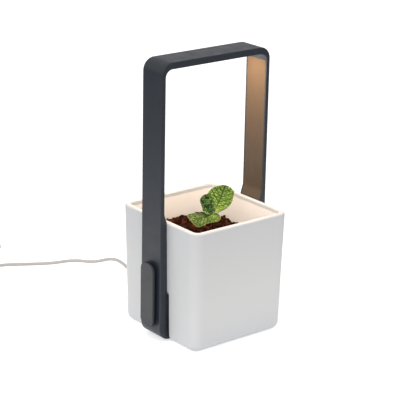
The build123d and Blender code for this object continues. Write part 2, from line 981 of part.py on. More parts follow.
def make_inlet_lead():
    start = base_half_y() - base_wall - relief_flange_thickness - 2 * running_gap
    end = board_size[1] / 2 + running_gap
    return Pos(0, (start + end) / 2, cord_exit_z) * Cylinder(
        inlet_lead_radius, start - end, rotation=(90, 0, 0)
    )


# ---------------------------------------------------------------- grow basket, soil, plant
def basket_leg_places():
    s = basket_leg_spread
    return [(sx * s, sy * s) for sx in (-1, 1) for sy in (-1, 1)]


def tub_floor_top():
    return base_top + seat_gap + tub_floor


def make_grow_basket():
    inset = rim_width + basket_gap
    high = basket_bottom + basket_height
    outside = pot_frustum(inset, basket_bottom, high)
    inside = pot_frustum(inset + basket_wall, basket_bottom + basket_floor, high + 1)
    basket = outside - inside
    leg_low = tub_floor_top() + seat_gap
    for x, y in basket_leg_places():
        height = basket_bottom - leg_low
        leg = Pos(x, y, (basket_bottom + leg_low) / 2) * Cone(
            basket_leg_radius - basket_leg_taper, basket_leg_radius, height
        )
        basket += leg
    slot_width, slot_length = drain_slot
    for x, y in basket_leg_places():
        bore = basket_leg_radius - basket_leg_wall - basket_leg_taper
        basket -= post(x, y, leg_low + basket_leg_foot, high, bore)
        for turn in (0, 90):
            middle = (leg_low + basket_bottom) / 2
            basket -= Pos(x, y, middle) * Rot(0, 0, turn) * Box(
                4 * basket_leg_radius, slot_width, leg_slot_length
            )
    slots = GridLocations(*floor_slot_pitch, floor_slot_columns, floor_slot_rows) * Box(
        slot_width, slot_length, 4 * basket_floor
    )
    return basket - Pos(0, 0, basket_bottom) * (Part() + slots)


def make_wicks():
    low = tub_floor_top() + seat_gap + basket_leg_foot + running_gap
    high = basket_bottom + basket_floor
    radius = basket_leg_radius - basket_leg_wall - basket_leg_taper - wick_gap
    return [post(x, y, low, high, radius) for x, y in basket_leg_places()]


def soil_top(x, y):
    return soil_height + soil_slope_x * x + soil_slope_y * y


def make_soil():
    low = basket_bottom + basket_floor + soil_gap
    rim = basket_bottom + basket_height + soil_gap
    inner = rim_width + basket_gap + basket_wall + soil_gap
    outer = rim_width + basket_gap - 0.1
    soil = pot_frustum(inner, low, rim + 0.01) + pot_frustum(outer, rim, soil_height + 8)
    surface = Plane(
        origin=(0, 0, soil_height), z_dir=(-soil_slope_x, -soil_slope_y, 1)
    )
    below = surface * Pos(0, 0, -pot_height / 2) * Box(3 * pot_width, 3 * pot_depth, pot_height)
    clods = []
    for x, y, height, radius in soil_mounds:
        ball = (radius**2 + height**2) / (2 * height)
        clods.append(Pos(x, y, soil_top(x, y) + height - ball) * Sphere(ball))
    return soil & (below + clods)


def make_seedling_stem():
    foot = Vector(*stem_foot, soil_top(*stem_foot) + seat_gap)
    axis = Vector(*leaf_joint) - foot
    return Plane(origin=foot, z_dir=axis) * Cylinder(
        stem_radius, axis.length, align=(Align.CENTER, Align.CENTER, Align.MIN)
    )


def leaf(outline, bowl, base, tip, facing, side):
    """A leaf blade: its outline, in the plane of its base and tip, cut out of a thin ball.
    Side 1 makes a bowl that opens towards facing, and side -1 makes a dome."""
    start, end = Vector(*base), Vector(*tip)
    length = (end - start).length
    along = (end - start) / length
    centre = sqrt(bowl**2 - (length / 2) ** 2)
    ball = Sphere(bowl) - Sphere(bowl - leaf_thickness)
    near_side = Pos(length / 2, 0, side * (length / 8 - bowl)) * Box(
        4 * length, 4 * length, 2 * bowl
    )
    column = extrude(make_face(Spline(*outline, periodic=True)), length / 2, both=True)
    blade = column & near_side & (Pos(length / 2, 0, side * centre) * ball)
    wish = Vector(*facing)
    return Plane(origin=start, x_dir=along, z_dir=wish - along * wish.dot(along)) * blade


def leaf_base(offset):
    return Vector(*leaf_joint) + Vector(*offset)


def make_leaf_tall():
    base = leaf_base(tall_leaf_base)
    return leaf(
        tall_leaf_outline, tall_leaf_bowl, base, tall_leaf_tip, tall_leaf_facing, 1
    )


def make_leaf_curled():
    base = leaf_base(curled_leaf_base)
    return leaf(
        curled_leaf_outline, curled_leaf_bowl, base, curled_leaf_tip, curled_leaf_facing, 1
    )


def make_leaf_low():
    base = leaf_base(low_leaf_base)
    return leaf(low_leaf_outline, low_leaf_dome, base, low_leaf_tip, low_leaf_facing, -1)


# ---------------------------------------------------------------- cord, coil, tie and plug
# From the strain relief over the table to the coil, in the finished frame
cord_points = [
    (3.0, 94.0, 9.4),
    (5.2, 112.0, 2.4),
    (11.5, 133.0, 1.76),
    (22.5, 153.0, 1.76),
    (32.2, 176.0, 1.76),
    (35.0, 204.0, 1.76),
    (8.0, 204.8, 1.76),
    (-6.5, 225.0, 1.76),
    (-31.0, 229.6, 1.76),
    (-54.5, 243.0, 1.76),
    (-80.0, 259.0, 1.76),
    (-98.0, 260.8, 2.0),
]


def coil_outer_turn():
    return coil_inner_turn + (coil_lower_turns - 1) * cord_diameter


def coil_layer_rise():
    """Height of the upper layer's cords over the lower ones, in whose hollows they lie."""
    return cord_diameter * sin(radians(60))


def cord_route():
    """The points, between the strain relief's tip and the coil's outer turn."""
    start = (origin_shift, base_half_y() + relief_length, cord_exit_z)
    end = (
        coil_centre[0] + 2.0,
        coil_centre[1] - coil_outer_turn(),
        coil_lift + cord_diameter / 2,
    )
    return [start, *cord_points, end]


def tube(points):
    """Straight runs joined by arcs as large as their runs allow."""
    radii = []
    for a, b, c in zip(points, points[1:], points[2:]):
        a, b, c = Vector(*a), Vector(*b), Vector(*c)
        turn = radians((b - a).get_angle(c - b))
        radii.append(0.45 * min((b - a).length, (c - b).length) / tan(turn / 2))
    path = FilletPolyline(*points, radius=radii)
    section = Plane(origin=path @ 0, z_dir=path % 0) * Circle(cord_diameter / 2)
    solid = sweep(section, path=path)
    ideal = pi * (cord_diameter / 2) ** 2 * path.length
    print("cord radii", [round(r, 1) for r in radii])
    print("cord length", round(path.length, 1), "volume share", solid.volume / ideal)
    return solid


def coil_section(grow=0.0):
    """Outline of the bundle of turns, as radius and height."""
    half = cord_diameter / 2
    inner, outer = coil_inner_turn - half, coil_outer_turn() + half
    low = coil_lift
    shoulder = low + cord_diameter * 0.75
    top = low + cord_diameter + coil_layer_rise()
    points = [
        (inner, low),
        (outer, low),
        (outer, shoulder),
        (outer - half, top),
        (inner + half, top),
        (inner, shoulder),
    ]
    face = Plane.XZ * make_face(Polyline(*points, close=True))
    return offset(face, grow) if grow else face


def make_cord_coil():
    return Pos(*coil_centre, 0) * revolve(coil_section(), Axis.Z)


def make_cord_tie():
    arc = 360 * tie_width / (2 * pi * (coil_inner_turn + coil_outer_turn()) / 2)
    band = coil_section(running_gap / 2 + tie_thickness) - coil_section(running_gap / 2)
    return (
        Pos(*coil_centre, 0)
        * Rot(0, 0, 200)
        * revolve(band, Axis.Z, revolution_arc=arc)
    )


def plug_axis_y():
    """The tail leaves the upper layer's outer turn at the back of the coil."""
    return coil_centre[1] + coil_outer_turn() - cord_diameter / 2


def tail_route():
    high = coil_lift + cord_diameter / 2 + coil_layer_rise()
    low = plug_body[2] / 2
    y = plug_axis_y()
    return [
        (coil_centre[0] + 3.0, y - 0.3, high),
        (coil_centre[0] + 10.0, y + 0.1, high - 0.3),
        (plug_start_x, y, low),
    ]


def make_plug_body():
    length, width, height = plug_body
    x = plug_start_x + plug_relief_length
    body = box_between(
        (x, -width / 2, 0), (x + length, width / 2, height)
    )
    body = fillet(body.edges().filter_by(Axis.X), 2.2)
    cone = Pos(plug_start_x + plug_relief_length / 2 + 0.01, 0, height / 2) * Cone(
        cord_diameter / 2 + 0.4, plug_relief_radius, plug_relief_length, rotation=(0, 90, 0)
    )
    return Pos(0, plug_axis_y(), 0) * (body + cone)


def make_plug_shell():
    length, width, height = plug_shell
    wall = plug_shell_wall
    x = plug_start_x + plug_relief_length + plug_body[0]
    middle = plug_body[2] / 2
    outer = box_between(
        (x, -width / 2, middle - height / 2), (x + length, width / 2, middle + height / 2)
    )
    inner = box_between(
        (x + 2, -width / 2 + wall, middle - height / 2 + wall),
        (x + length + 1, width / 2 - wall, middle + height / 2 - wall),
    )
    tongue = box_between(
        (x + 1.9, -width / 2 + wall, middle - 0.1),
        (x + length - 1, width / 2 - wall, middle + height / 2 - wall),
    )
    shell = outer - (inner - tongue)
    for face_z in (middle + height / 2, middle - height / 2):
        for y in (-3.0, 3.0):
            shell -= Pos(x + 6, y, face_z) * Box(2.5, 2.0, 0.5)
    return Pos(0, plug_axis_y(), 0) * shell


# ---------------------------------------------------------------- fasteners
def make_foot_screws():
    return [screw(place, (0, 0, 1), foot_screw_length) for place in foot_screw_places()]


def make_cover_screws():
    length = base_top - base_cover_thickness - foot_plate_top - cover_screw_short
    return [
        screw((x, y, foot_plate_top), (0, 0, 1), length) for x, y in base_post_places()
    ]


def make_board_screws():
    top = board_top()
    tip = top - board_thickness - board_standoff + post_screw_depth
    head_radius, head_height = board_screw_head
    return [
        post(x, y, tip, top + 0.01, board_screw_radius)
        + post(x, y, top, top + head_height, head_radius)
        for x, y in board_post_places()
    ]


def make_liner_screws():
    return [
        screw(liner_screw_place(side), (side, 0, 0), liner_screw_length() - 0.3)
        for side in (-1, 1)
    ]


# ---------------------------------------------------------------- assembly
object_pieces = {
    "planter_shell": make_planter_shell,
    "reservoir_tub": make_reservoir_tub,
    "arch_shell": make_arch_shell,
    "near_leg_cover": lambda: make_leg_cover(-1),
    "far_leg_cover": lambda: make_leg_cover(1),
    "lamp_bezel": make_lamp_bezel,
    "lamp_diffuser": make_lamp_diffuser,
    "led_board": make_led_board,
    "led_chips": make_led_chips,
    "lamp_lead": make_lamp_lead,
    "lamp_button": make_lamp_button,
    "button_springs": make_button_springs,
    "switch_board": make_switch_board,
    "tact_switch": make_tact_switch,
    "switch_lead": make_switch_lead,
    "base_tray": make_base_tray,
    "base_cover": make_base_cover,
    "base_feet": make_base_feet,
    "control_board": make_control_board,
    "board_components": make_board_components,
    "strain_relief": make_strain_relief,
    "inlet_lead": make_inlet_lead,
    "foot_screws": make_foot_screws,
    "cover_screws": make_cover_screws,
    "board_screws": make_board_screws,
    "liner_screws": make_liner_screws,
    "grow_basket": make_grow_basket,
    "felt_wicks": make_wicks,
    "soil": make_soil,
    "seedling_stem": make_seedling_stem,
    "leaf_tall": make_leaf_tall,
    "leaf_curled": make_leaf_curled,
    "leaf_low": make_leaf_low,
}
cord_pieces = {
    "power_cord": lambda: tube(cord_route()),
    "cord_coil": make_cord_coil,
    "cord_tie": make_cord_tie,
    "cord_tail": lambda: tube(tail_route()),
    "plug_body": make_plug_body,
    "plug_shell": make_plug_shell,
}


def write(name, made, move):
    solids = made if isinstance(made, list) else [made]
    solids = [move * solid for solid in solids]
    piece = solids[0] if len(solids) == 1 else Compound(children=solids)
    export_step(piece, f"parts/{name}.step")


os.makedirs("parts", exist_ok=True)
for name, maker in object_pieces.items():
    write(name, maker(), Pos(origin_shift, 0, 0))
for name, maker in cord_pieces.items():
    write(name, maker(), Pos(0, 0, 0))
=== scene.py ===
"""Looks of a countertop garden: a white pot held by a dark lamp arch, with soil, a seedling and its lead.

The frame holds every rigid part at its size. This file gives those parts their finishes and makes the soil,
the seedling and the cord. Sizes in the property groups are metres, and tables of points are millimetres."""

import bmesh
import bpy
from math import cos, pi, radians, sin

import numpy as np
from bpy.props import FloatProperty, FloatVectorProperty, IntProperty, PointerProperty
from mathutils import Matrix, Vector


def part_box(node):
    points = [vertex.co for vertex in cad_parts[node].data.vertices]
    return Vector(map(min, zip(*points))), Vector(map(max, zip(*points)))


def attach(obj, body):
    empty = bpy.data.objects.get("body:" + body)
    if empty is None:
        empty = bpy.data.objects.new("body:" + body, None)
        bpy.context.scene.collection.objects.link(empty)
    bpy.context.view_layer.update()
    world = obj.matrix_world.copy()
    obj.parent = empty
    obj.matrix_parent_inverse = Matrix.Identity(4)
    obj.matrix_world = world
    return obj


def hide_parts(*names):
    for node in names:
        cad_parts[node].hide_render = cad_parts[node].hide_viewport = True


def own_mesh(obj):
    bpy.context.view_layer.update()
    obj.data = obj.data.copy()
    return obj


bl_info = {
    "name": "Countertop Garden",
    "version": (1, 0, 0),
    "blender": (4, 5, 0),
    "location": "View3D > Sidebar > Garden",
    "description": "Finishes, soil, seedling and cord of a countertop garden with a lamp arch",
    "category": "Add Mesh",
}

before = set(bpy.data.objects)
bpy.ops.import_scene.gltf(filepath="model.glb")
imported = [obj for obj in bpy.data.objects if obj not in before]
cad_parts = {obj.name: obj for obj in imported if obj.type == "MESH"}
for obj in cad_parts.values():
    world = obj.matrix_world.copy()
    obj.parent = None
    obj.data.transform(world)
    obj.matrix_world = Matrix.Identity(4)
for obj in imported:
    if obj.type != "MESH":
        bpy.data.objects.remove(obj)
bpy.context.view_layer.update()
MM = 0.001


# ---------------------------------------------------------------- shader helpers
class Value:
    """A shader socket. Arithmetic on it adds one Math node for each operator."""

    def __init__(self, nodes, socket):
        self.nodes = nodes
        self.socket = socket

    def _math(self, operation, first, second):
        return self.nodes.node("ShaderNodeMath", {0: first, 1: second}, operation=operation)

    def __add__(self, other):
        return self._math("ADD", self, other)

    def __sub__(self, other):
        return self._math("SUBTRACT", self, other)

    def __mul__(self, other):
        return self._math("MULTIPLY", self, other)

    def __pow__(self, other):
        return self._math("POWER", self, other)

    def most(self, other):
        return self._math("MAXIMUM", self, other)

    __rmul__ = __mul__


class Nodes:
    """The node tree of a finish, a floor or the surroundings."""

    def __init__(self, tree):
        self.tree = tree

    def feed(self, socket, value):
        """Links a value to a socket, or sets a plain number or colour on it."""
        if isinstance(value, Value):
            self.tree.links.new(value.socket, socket)
        elif socket.type == "RGBA" and len(value) == 3:
            socket.default_value = (*value, 1.0)
        else:
            socket.default_value = value

    def node(self, kind, inputs=(), output=0, stops=(), **settings):
        """Adds a node: its settings first, then a ramp's stops, then its sockets' values or links."""
        made = self.tree.nodes.new(kind)
        for title, value in settings.items():
            setattr(made, title, value)
        for index, (place, colour) in enumerate(stops):
            elements = made.color_ramp.elements
            element = elements[index] if index < len(elements) else elements.new(place)
            element.position = place
            element.color = (*colour, 1.0)
        for title, value in dict(inputs).items():
            self.feed(made.inputs[title], value)
        return Value(self, made.outputs[output])

    def place(self, stretch=None):
        """Object coordinates, stretched along the axes."""
        raw = self.node("ShaderNodeTexCoord", output="Object")
        if stretch is None:
            return raw
        return self.node("ShaderNodeMapping", {"Vector": raw, "Scale": stretch})

    def noise(self, size, detail=2.0, stretch=None):
        """Soft noise whose lumps are about size metres across."""
        sockets = {"Vector": self.place(stretch), "Scale": 1.0 / size, "Detail": detail}
        return self.node("ShaderNodeTexNoise", sockets)

    def attribute(self, name):
        """A value stored on the piece's points."""
        return self.node("ShaderNodeAttribute", output="Fac", attribute_name=name)

    def ramp(self, factor, *stops):
        return self.node("ShaderNodeValToRGB", {"Fac": factor}, stops=stops)

    def between(self, factor, low, high, start=0.0, end=1.0):
        """Carries start..end to low..high."""
        sockets = {"Value": factor, "From Min": start, "From Max": end}
        return self.node("ShaderNodeMapRange", {**sockets, "To Min": low, "To Max": high})

    def mix(self, factor, first, second):
        """Colour that goes from first to second."""
        sockets = {0: factor, 6: first, 7: second}
        return self.node("ShaderNodeMix", sockets, output=2, data_type="RGBA")


class Finish(Nodes):
    """A material with one Principled shader."""

    def __init__(self, name, **sockets):
        self.material = bpy.data.materials.new(name)
        self.material.use_nodes = True
        super().__init__(self.material.node_tree)
        self.shader = self.tree.nodes["Principled BSDF"]
        for title, value in sockets.items():
            self.set(title.replace("_", " "), value)

    def set(self, title, value):
        self.feed(self.shader.inputs[title], value)

    def bump(self, height, depth):
        """A relief, depth metres from its lowest to its highest value."""
        sockets = {"Height": height, "Distance": depth, "Strength": 1.0}
        self.set("Normal", self.node("ShaderNodeBump", sockets))


def shade(colour, factor):
    """The colour, made darker or lighter."""
    return tuple(min(part * factor, 1.0) for part in colour)


def moulded(name, colour, roughness, grain, depth, drift=0.03, gloss=0.5):
    """Moulded plastic: a fine eroded grain, faint flow marks, and gloss that varies a little."""
    finish = Finish(name, Specular_IOR_Level=gloss)
    flow = finish.noise(0.05, 3.0, (1.0, 1.0, 0.35))
    finish.set("Base Color", finish.mix(flow, shade(colour, 1 - drift), shade(colour, 1 + drift)))
    patches = finish.noise(0.012, 4.0)
    finish.set("Roughness", finish.between(patches, roughness - 0.06, roughness + 0.06, 0.3, 0.7))
    finish.bump(finish.noise(grain, 1.0), depth)
    return finish


def brushed(name, colour, roughness, stretch):
    """Steel with fine parallel scratches."""
    finish = Finish(name, Metallic=1.0)
    scratches = finish.noise(0.0004, 3.0, stretch)
    finish.set("Base Color", finish.mix(scratches, shade(colour, 0.85), shade(colour, 1.1)))
    finish.set("Roughness", finish.between(scratches, roughness - 0.08, roughness + 0.12))
    finish.bump(scratches, 0.000008)
    return finish


def dress(finish, *nodes):
    """Gives frame nodes a finish in place of their plain one."""
    for name in nodes:
        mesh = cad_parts[name].data
        mesh.materials.clear()
        mesh.materials.append(finish.material)


# ---------------------------------------------------------------- mesh helpers
def grid_faces(rows, columns, round_rows=False, round_columns=False):
    """Quads between the points of a grid, closed round one or both of its ways."""
    row, column = np.meshgrid(
        np.arange(rows - (not round_rows)), np.arange(columns - (not round_columns)), indexing="ij"
    )
    below, right = (row + 1) % rows, (column + 1) % columns
    corners = ((row, column), (row, right), (below, right), (below, column))
    return np.stack([r * columns + c for r, c in corners], -1).reshape(-1, 4)


def grid_mesh(name, points, faces, values=None):
    """A mesh from arrays in metres, with a value for each point under each title of values. Points that
    meet at poles and seams become one, and faces turn outwards."""
    mesh = bpy.data.meshes.new(name)
    mesh.from_pydata(points.reshape(-1, 3).tolist(), [], faces.tolist())
    for title, numbers in (values or {}).items():
        stored = mesh.attributes.new(title, "FLOAT", "POINT")
        stored.data.foreach_set("value", np.asarray(numbers, np.float32).ravel())
    work = bmesh.new()
    work.from_mesh(mesh)
    bmesh.ops.remove_doubles(work, verts=work.verts, dist=1e-6)
    bmesh.ops.dissolve_degenerate(work, edges=work.edges, dist=1e-7)
    bmesh.ops.recalc_face_normals(work, faces=work.faces)
    work.to_mesh(mesh)
    work.free()
    mesh.shade_smooth()
    return mesh


def piece(name, data, body, finish):
    """Puts a mesh or curve in the scene, with its finish, on the body that carries it."""
    data.materials.append(finish.material)
    made = bpy.data.objects.new(name, data)
    bpy.context.scene.collection.objects.link(made)
    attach(made, body)
    return made


def smooth_line(points, count, closed=False):
    """Points of a Catmull-Rom curve through the given ones: each span is the cubic that leaves and meets
    its ends along the line between their neighbours."""
    points = np.asarray(points, float)
    spans = len(points) if closed else len(points) - 1
    if closed:
        padded = np.concatenate([points[-1:], points, points[:2]])
    else:
        first, last = 2 * points[:1] - points[1:2], 2 * points[-1:] - points[-2:-1]
        padded = np.concatenate([first, points, last])
    place = np.linspace(0, spans, count, endpoint=not closed)
    span = np.minimum(place.astype(int), spans - 1)
    t = (place - span)[:, None]
    a, b, c, d = (padded[span + step] for step in range(4))
    return 0.5 * (2 * b + (c - a) * t + (2 * a - 5 * b + 4 * c - d) * t**2 + (3 * b - a - 3 * c + d) * t**3)


def tube_points(path, radii, around):
    """A ring of points round each point of a path. The rings' axes follow the path's direction, and the
    ends close on the path where the radius is nothing."""
    ahead = np.gradient(path, axis=0)
    ahead /= np.linalg.norm(ahead, axis=1, keepdims=True)
    side = np.cross(ahead, (0.31, -0.87, 0.38))
    side /= np.linalg.norm(side, axis=1, keepdims=True)
    third = np.cross(ahead, side)
    angle = np.linspace(0, 2 * pi, around, endpoint=False)[None, :, None]
    ring = np.cos(angle) * side[:, None] + np.sin(angle) * third[:, None]
    return path[:, None] + np.asarray(radii)[:, None, None] * ring


# ---------------------------------------------------------------- sizes and colours to change
class GardenStage(bpy.types.PropertyGroup):
    azimuth: FloatProperty(
        name="Azimuth", description="Where the camera stands round the garden, from its front",
        default=radians(-38.82), subtype="ANGLE",
    )
    elevation: FloatProperty(
        name="Elevation", description="Angle of the camera over the table",
        default=radians(18.865), subtype="ANGLE",
    )
    roll: FloatProperty(
        name="Roll", description="Tilt of the camera", default=radians(1.13), subtype="ANGLE"
    )
    distance: FloatProperty(
        name="Distance", description="From the camera to its target", default=1.5657, unit="LENGTH"
    )
    target: FloatVectorProperty(
        name="Target", description="Point that the camera looks at",
        default=(-0.00364, 0.0, 0.13624), subtype="TRANSLATION",
    )
    lens: FloatProperty(
        name="Lens", description="Focal length in millimetres, on a sensor 36 mm wide", default=139.668
    )
    surround: FloatProperty(
        name="Surround", description="Strength of the even light from all sides", default=0.52
    )
    mirrored: FloatProperty(
        name="Mirrored", description="Brightness of the surroundings in a glossy surface", default=0.65
    )
    soft_lamp: FloatProperty(
        name="Soft lamp", description="Light that the large lamp adds to a face turned to it", default=0.30
    )
    soft_lamp_from: FloatVectorProperty(
        name="Soft lamp from", description="Direction towards the large lamp",
        default=(-0.26, -0.14, 0.30), subtype="DIRECTION",
    )
    grow_light: FloatProperty(
        name="Grow light", description="Power of the light under the arch, in watts", default=0.55
    )
    on_pot: FloatProperty(
        name="Share on the pot", description="Share of the grow light that the pot's own shell receives",
        default=0.48,
    )
    grow_colour: FloatVectorProperty(
        name="Grow light colour", description="Colour of the light under the arch",
        default=(1.0, 0.78, 0.58), subtype="COLOR",
    )


class GardenShell(bpy.types.PropertyGroup):
    pot: FloatVectorProperty(
        name="Pot", description="White plastic of the pot", default=(0.812, 0.828, 0.842), subtype="COLOR"
    )
    tub: FloatVectorProperty(
        name="Tub", description="Plastic of the tub in the pot", default=(0.95, 0.935, 0.92), subtype="COLOR"
    )
    arch: FloatVectorProperty(
        name="Arch", description="Plastic of the arch", default=(0.022, 0.029, 0.041), subtype="COLOR"
    )
    # The covers are lighter and warmer than the arch's plastic: painted light of the grow lamp on the legs'
    # inner faces
    cover: FloatVectorProperty(
        name="Leg covers", description="Plastic of the covers inside the legs",
        default=(0.070, 0.049, 0.031), subtype="COLOR",
    )
    button: FloatVectorProperty(
        name="Button", description="Plastic of the lamp button",
        default=(0.025, 0.031, 0.041), subtype="COLOR",
    )
    base: FloatVectorProperty(
        name="Base", description="Plastic of the base", default=(0.03, 0.033, 0.038), subtype="COLOR"
    )


class GardenSoil(bpy.types.PropertyGroup):
    lump: FloatProperty(
        name="Lump", description="Radius of a usual lump", default=0.0022, unit="LENGTH"
    )
    lumps: IntProperty(name="Lumps", description="How many lumps make the surface", default=1500)
    crumbs: IntProperty(name="Crumbs", description="How many loose crumbs lie on it", default=900)
    seed: IntProperty(name="Seed", description="Start of the soil's random draws", default=11)


class GardenSeedling(bpy.types.PropertyGroup):
    thickness: FloatProperty(
        name="Thickness", description="Thickness of a leaf", default=0.0005, unit="LENGTH"
    )
    swell: FloatProperty(
        name="Swell", description="How far the leaf swells out between its veins",
        default=0.0008, unit="LENGTH",
    )
    seed: IntProperty(name="Seed", description="Start of the leaves' random draws", default=5)


class GardenCord(bpy.types.PropertyGroup):
    diameter: FloatProperty(
        name="Diameter", description="Thickness of the cord", default=0.0035, unit="LENGTH"
    )
    length: FloatProperty(
        name="Length", description="Length of the cord from the strain relief to the plug",
        default=1.11, unit="LENGTH",
    )
    colour: FloatVectorProperty(
        name="Colour", description="Sheath of the cord", default=(0.52, 0.52, 0.53), subtype="COLOR"
    )


GROUPS = {
    "garden_stage": GardenStage,
    "garden_shell": GardenShell,
    "garden_soil": GardenSoil,
    "garden_seedling": GardenSeedling,
    "garden_cord": GardenCord,
}


# ---------------------------------------------------------------- stage
SOFT_LAMP_WIDTH = radians(75)
LAMP_GAP = 0.0003  # from the lamp's window down to the light
FLOOR_REACH = 9.0
FLOOR_WHITE = (0.93, 0.93, 0.935)
FLOOR_FAR_PAINTED_DIM = (0.30, 0.31, 0.33)  # painted shade: the far floor's colour for all but camera rays, darker so that it gives less light back to the garden
# Glow of the floor: an even white to the camera, and near the garden a painted reflection glow in glossy
# surfaces
FLOOR_GLOW = 0.6


class GARDEN_OT_stage(bpy.types.Operator):
    """Places the camera, the floor, the soft lamp, the surroundings and the light under the arch"""

    bl_idname = "garden.stage"
    bl_label = "Stage"

    def execute(self, context):
        sizes = context.scene.garden_stage
        scene = context.scene
        scene.view_settings.view_transform = "Standard"

        a, e, roll = sizes.azimuth, sizes.elevation, sizes.roll
        back = Vector((sin(a) * cos(e), -cos(a) * cos(e), sin(e)))
        level = Vector((0, 0, 1)).cross(back).normalized()
        upward = back.cross(level)
        right = level * cos(roll) + upward * sin(roll)
        up = upward * cos(roll) - level * sin(roll)
        place = Vector(sizes.target) + back * sizes.distance
        camera = bpy.data.cameras.new("camera")
        camera.lens = sizes.lens
        camera.sensor_width = 36.0
        stand = bpy.data.objects.new("camera", camera)
        turn = Matrix((right, up, back)).transposed().to_4x4()
        stand.matrix_world = Matrix.Translation(place) @ turn
        scene.collection.objects.link(stand)
        scene.camera = stand

        lamp = bpy.data.lights.new("soft_lamp", "SUN")
        lamp.energy = pi * sizes.soft_lamp
        lamp.angle = SOFT_LAMP_WIDTH
        lamp_stand = bpy.data.objects.new("soft_lamp", lamp)
        lamp_stand.rotation_euler = Vector(sizes.soft_lamp_from).to_track_quat("Z", "Y").to_euler()
        scene.collection.objects.link(lamp_stand)

        # Two lights in one place: the pot's own shell receives only the second, and everything else both
        low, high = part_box("lamp_diffuser")
        for name, share in (("grow_light", 1 - sizes.on_pot), ("grow_light_on_pot", sizes.on_pot)):
            grow = bpy.data.lights.new(name, "AREA")
            grow.shape = "RECTANGLE"
            grow.size, grow.size_y = high.x - low.x, high.y - low.y
            grow.energy = sizes.grow_light * share
            grow.color = sizes.grow_colour
            grow_stand = bpy.data.objects.new(name, grow)
            grow_stand.location = ((low.x + high.x) / 2, (low.y + high.y) / 2, low.z - LAMP_GAP)
            grow_stand.visible_camera = grow_stand.visible_glossy = False
            scene.collection.objects.link(grow_stand)
            if name == "grow_light":
                unlit = bpy.data.collections.new("not_lit_in_full")
                unlit.objects.link(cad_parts["planter_shell"])
                unlit.collection_objects[0].light_linking.link_state = "EXCLUDE"
                grow_stand.light_linking.receiver_collection = unlit

        world = bpy.data.worlds.new("surroundings")
        world.use_nodes = True
        scene.world = world
        nodes = Nodes(world.node_tree)
        camera_ray, glossy_ray = (
            nodes.node("ShaderNodeLightPath", output=f"Is {kind} Ray") for kind in ("Camera", "Glossy")
        )
        background = world.node_tree.nodes["Background"]
        background.inputs["Color"].default_value = (1, 1, 1, 1)
        seen = camera_ray.most(glossy_ray * sizes.mirrored)
        nodes.feed(background.inputs["Strength"], seen.most(sizes.surround))

        corners = np.array([(-1, -1, 0), (1, -1, 0), (1, 1, 0), (-1, 1, 0)]) * FLOOR_REACH
        floor = bpy.data.objects.new("floor", grid_mesh("floor", corners, np.array([[0, 1, 2, 3]])))
        scene.collection.objects.link(floor)
        white = Finish("floor_white", Roughness=0.9, Specular_IOR_Level=0.1)
        camera_ray, glossy_ray = (
            white.node("ShaderNodeLightPath", output=f"Is {kind} Ray") for kind in ("Camera", "Glossy")
        )
        # Painted light on the floor: away from the garden its colour dims for all but camera rays, a painted
        # fall-off of light, and near the garden it glows for glossy rays, a painted reflection on the arch's
        # lower faces
        distance = white.node(
            "ShaderNodeVectorMath", {0: white.place()}, output="Value", operation="LENGTH"
        )
        far = white.between(distance, 0.0, 1.0, 0.15, 1.0)
        floor_with_painted_falloff = white.mix(far, FLOOR_WHITE, FLOOR_FAR_PAINTED_DIM)
        white.set("Base Color", white.mix(camera_ray, floor_with_painted_falloff, FLOOR_WHITE))
        white.set("Emission Color", (1.0, 1.0, 1.0))
        near = white.between(distance, 1.0, 0.0, 0.33, 0.78)
        white.set("Emission Strength", FLOOR_GLOW * camera_ray + FLOOR_GLOW * glossy_ray * near)
        floor.data.materials.append(white.material)
        return {"FINISHED"}


# ---------------------------------------------------------------- cord
CORD_EXIT = (2.6, 76.2, 11.0)
CORD_ROUTE = [
    (3.0, 94.0, 9.4),
    (5.2, 112.0, 2.4),
    (11.5, 133.0, 1.76),
    (22.5, 153.0, 1.76),
    (32.2, 176.0, 1.76),
    (35.0, 204.0, 1.76),
    (8.0, 204.8, 1.76),
    (-6.5, 225.0, 1.76),
    (-31.0, 229.6, 1.76),
    (-54.5, 243.0, 1.76),
    (-80.0, 259.0, 1.76),
    (-98.0, 260.8, 2.0),
]
COIL_CENTRE = (-113.0, 287.0)
LOWER_TURNS = (25.5, 22.0, 18.5, 15.0)
UPPER_TURNS = (16.75, 20.25, 23.75)
TURNS = 6.5
LOWER_LAYER, UPPER_LAYER = 2.35, 5.38  # heights of the cord's middle
CROSSING, CLIMBED = 5.9, 5.6  # where it crosses a step below, and where the upper layer starts
CLIMB_INSET = 1.3
TAIL_ROUTE = [(-110.0, 310.45, 5.38), (-103.0, 310.85, 5.08), (-95.5, 310.75, 3.75)]


def coil_points():
    """Control points of the coil, clockwise: every turn is a circle, and over the last two ninths of it the
    cord steps to the next circle. The lower layer winds inwards, the cord climbs at its inner turn, and the
    upper layer winds outwards over it, raised where it crosses the steps below."""
    per_turn = 18
    radii = np.array([*LOWER_TURNS, *UPPER_TURNS, UPPER_TURNS[-1]])
    low, high, crossing = LOWER_LAYER, UPPER_LAYER, CROSSING
    place = np.arange(1, int(TURNS * per_turn) - 1)
    turn, step = place // per_turn, np.clip((place % per_turn) / per_turn * 4.5 - 3.5, 0, 1)
    ease = step * step * (3 - 2 * step)
    radius = radii[turn] + (radii[turn + 1] - radii[turn]) * ease
    height = np.where(turn < len(LOWER_TURNS), low, high + (crossing - high) * (step > 0))
    climbing = turn == len(LOWER_TURNS) - 1
    radius = radius - climbing * CLIMB_INSET * np.sin(pi * step)
    height = np.where(climbing, low + (crossing - low) * ease, height)
    height = np.where(place % per_turn == 0, np.where(turn == len(LOWER_TURNS), CLIMBED, height), height)
    angle = -pi / 2 - 2 * pi * place / per_turn
    radius = radius / cos(pi / per_turn) ** 0.5
    x, y = COIL_CENTRE
    return np.stack([x + radius * np.cos(angle), y + radius * np.sin(angle), height], -1)


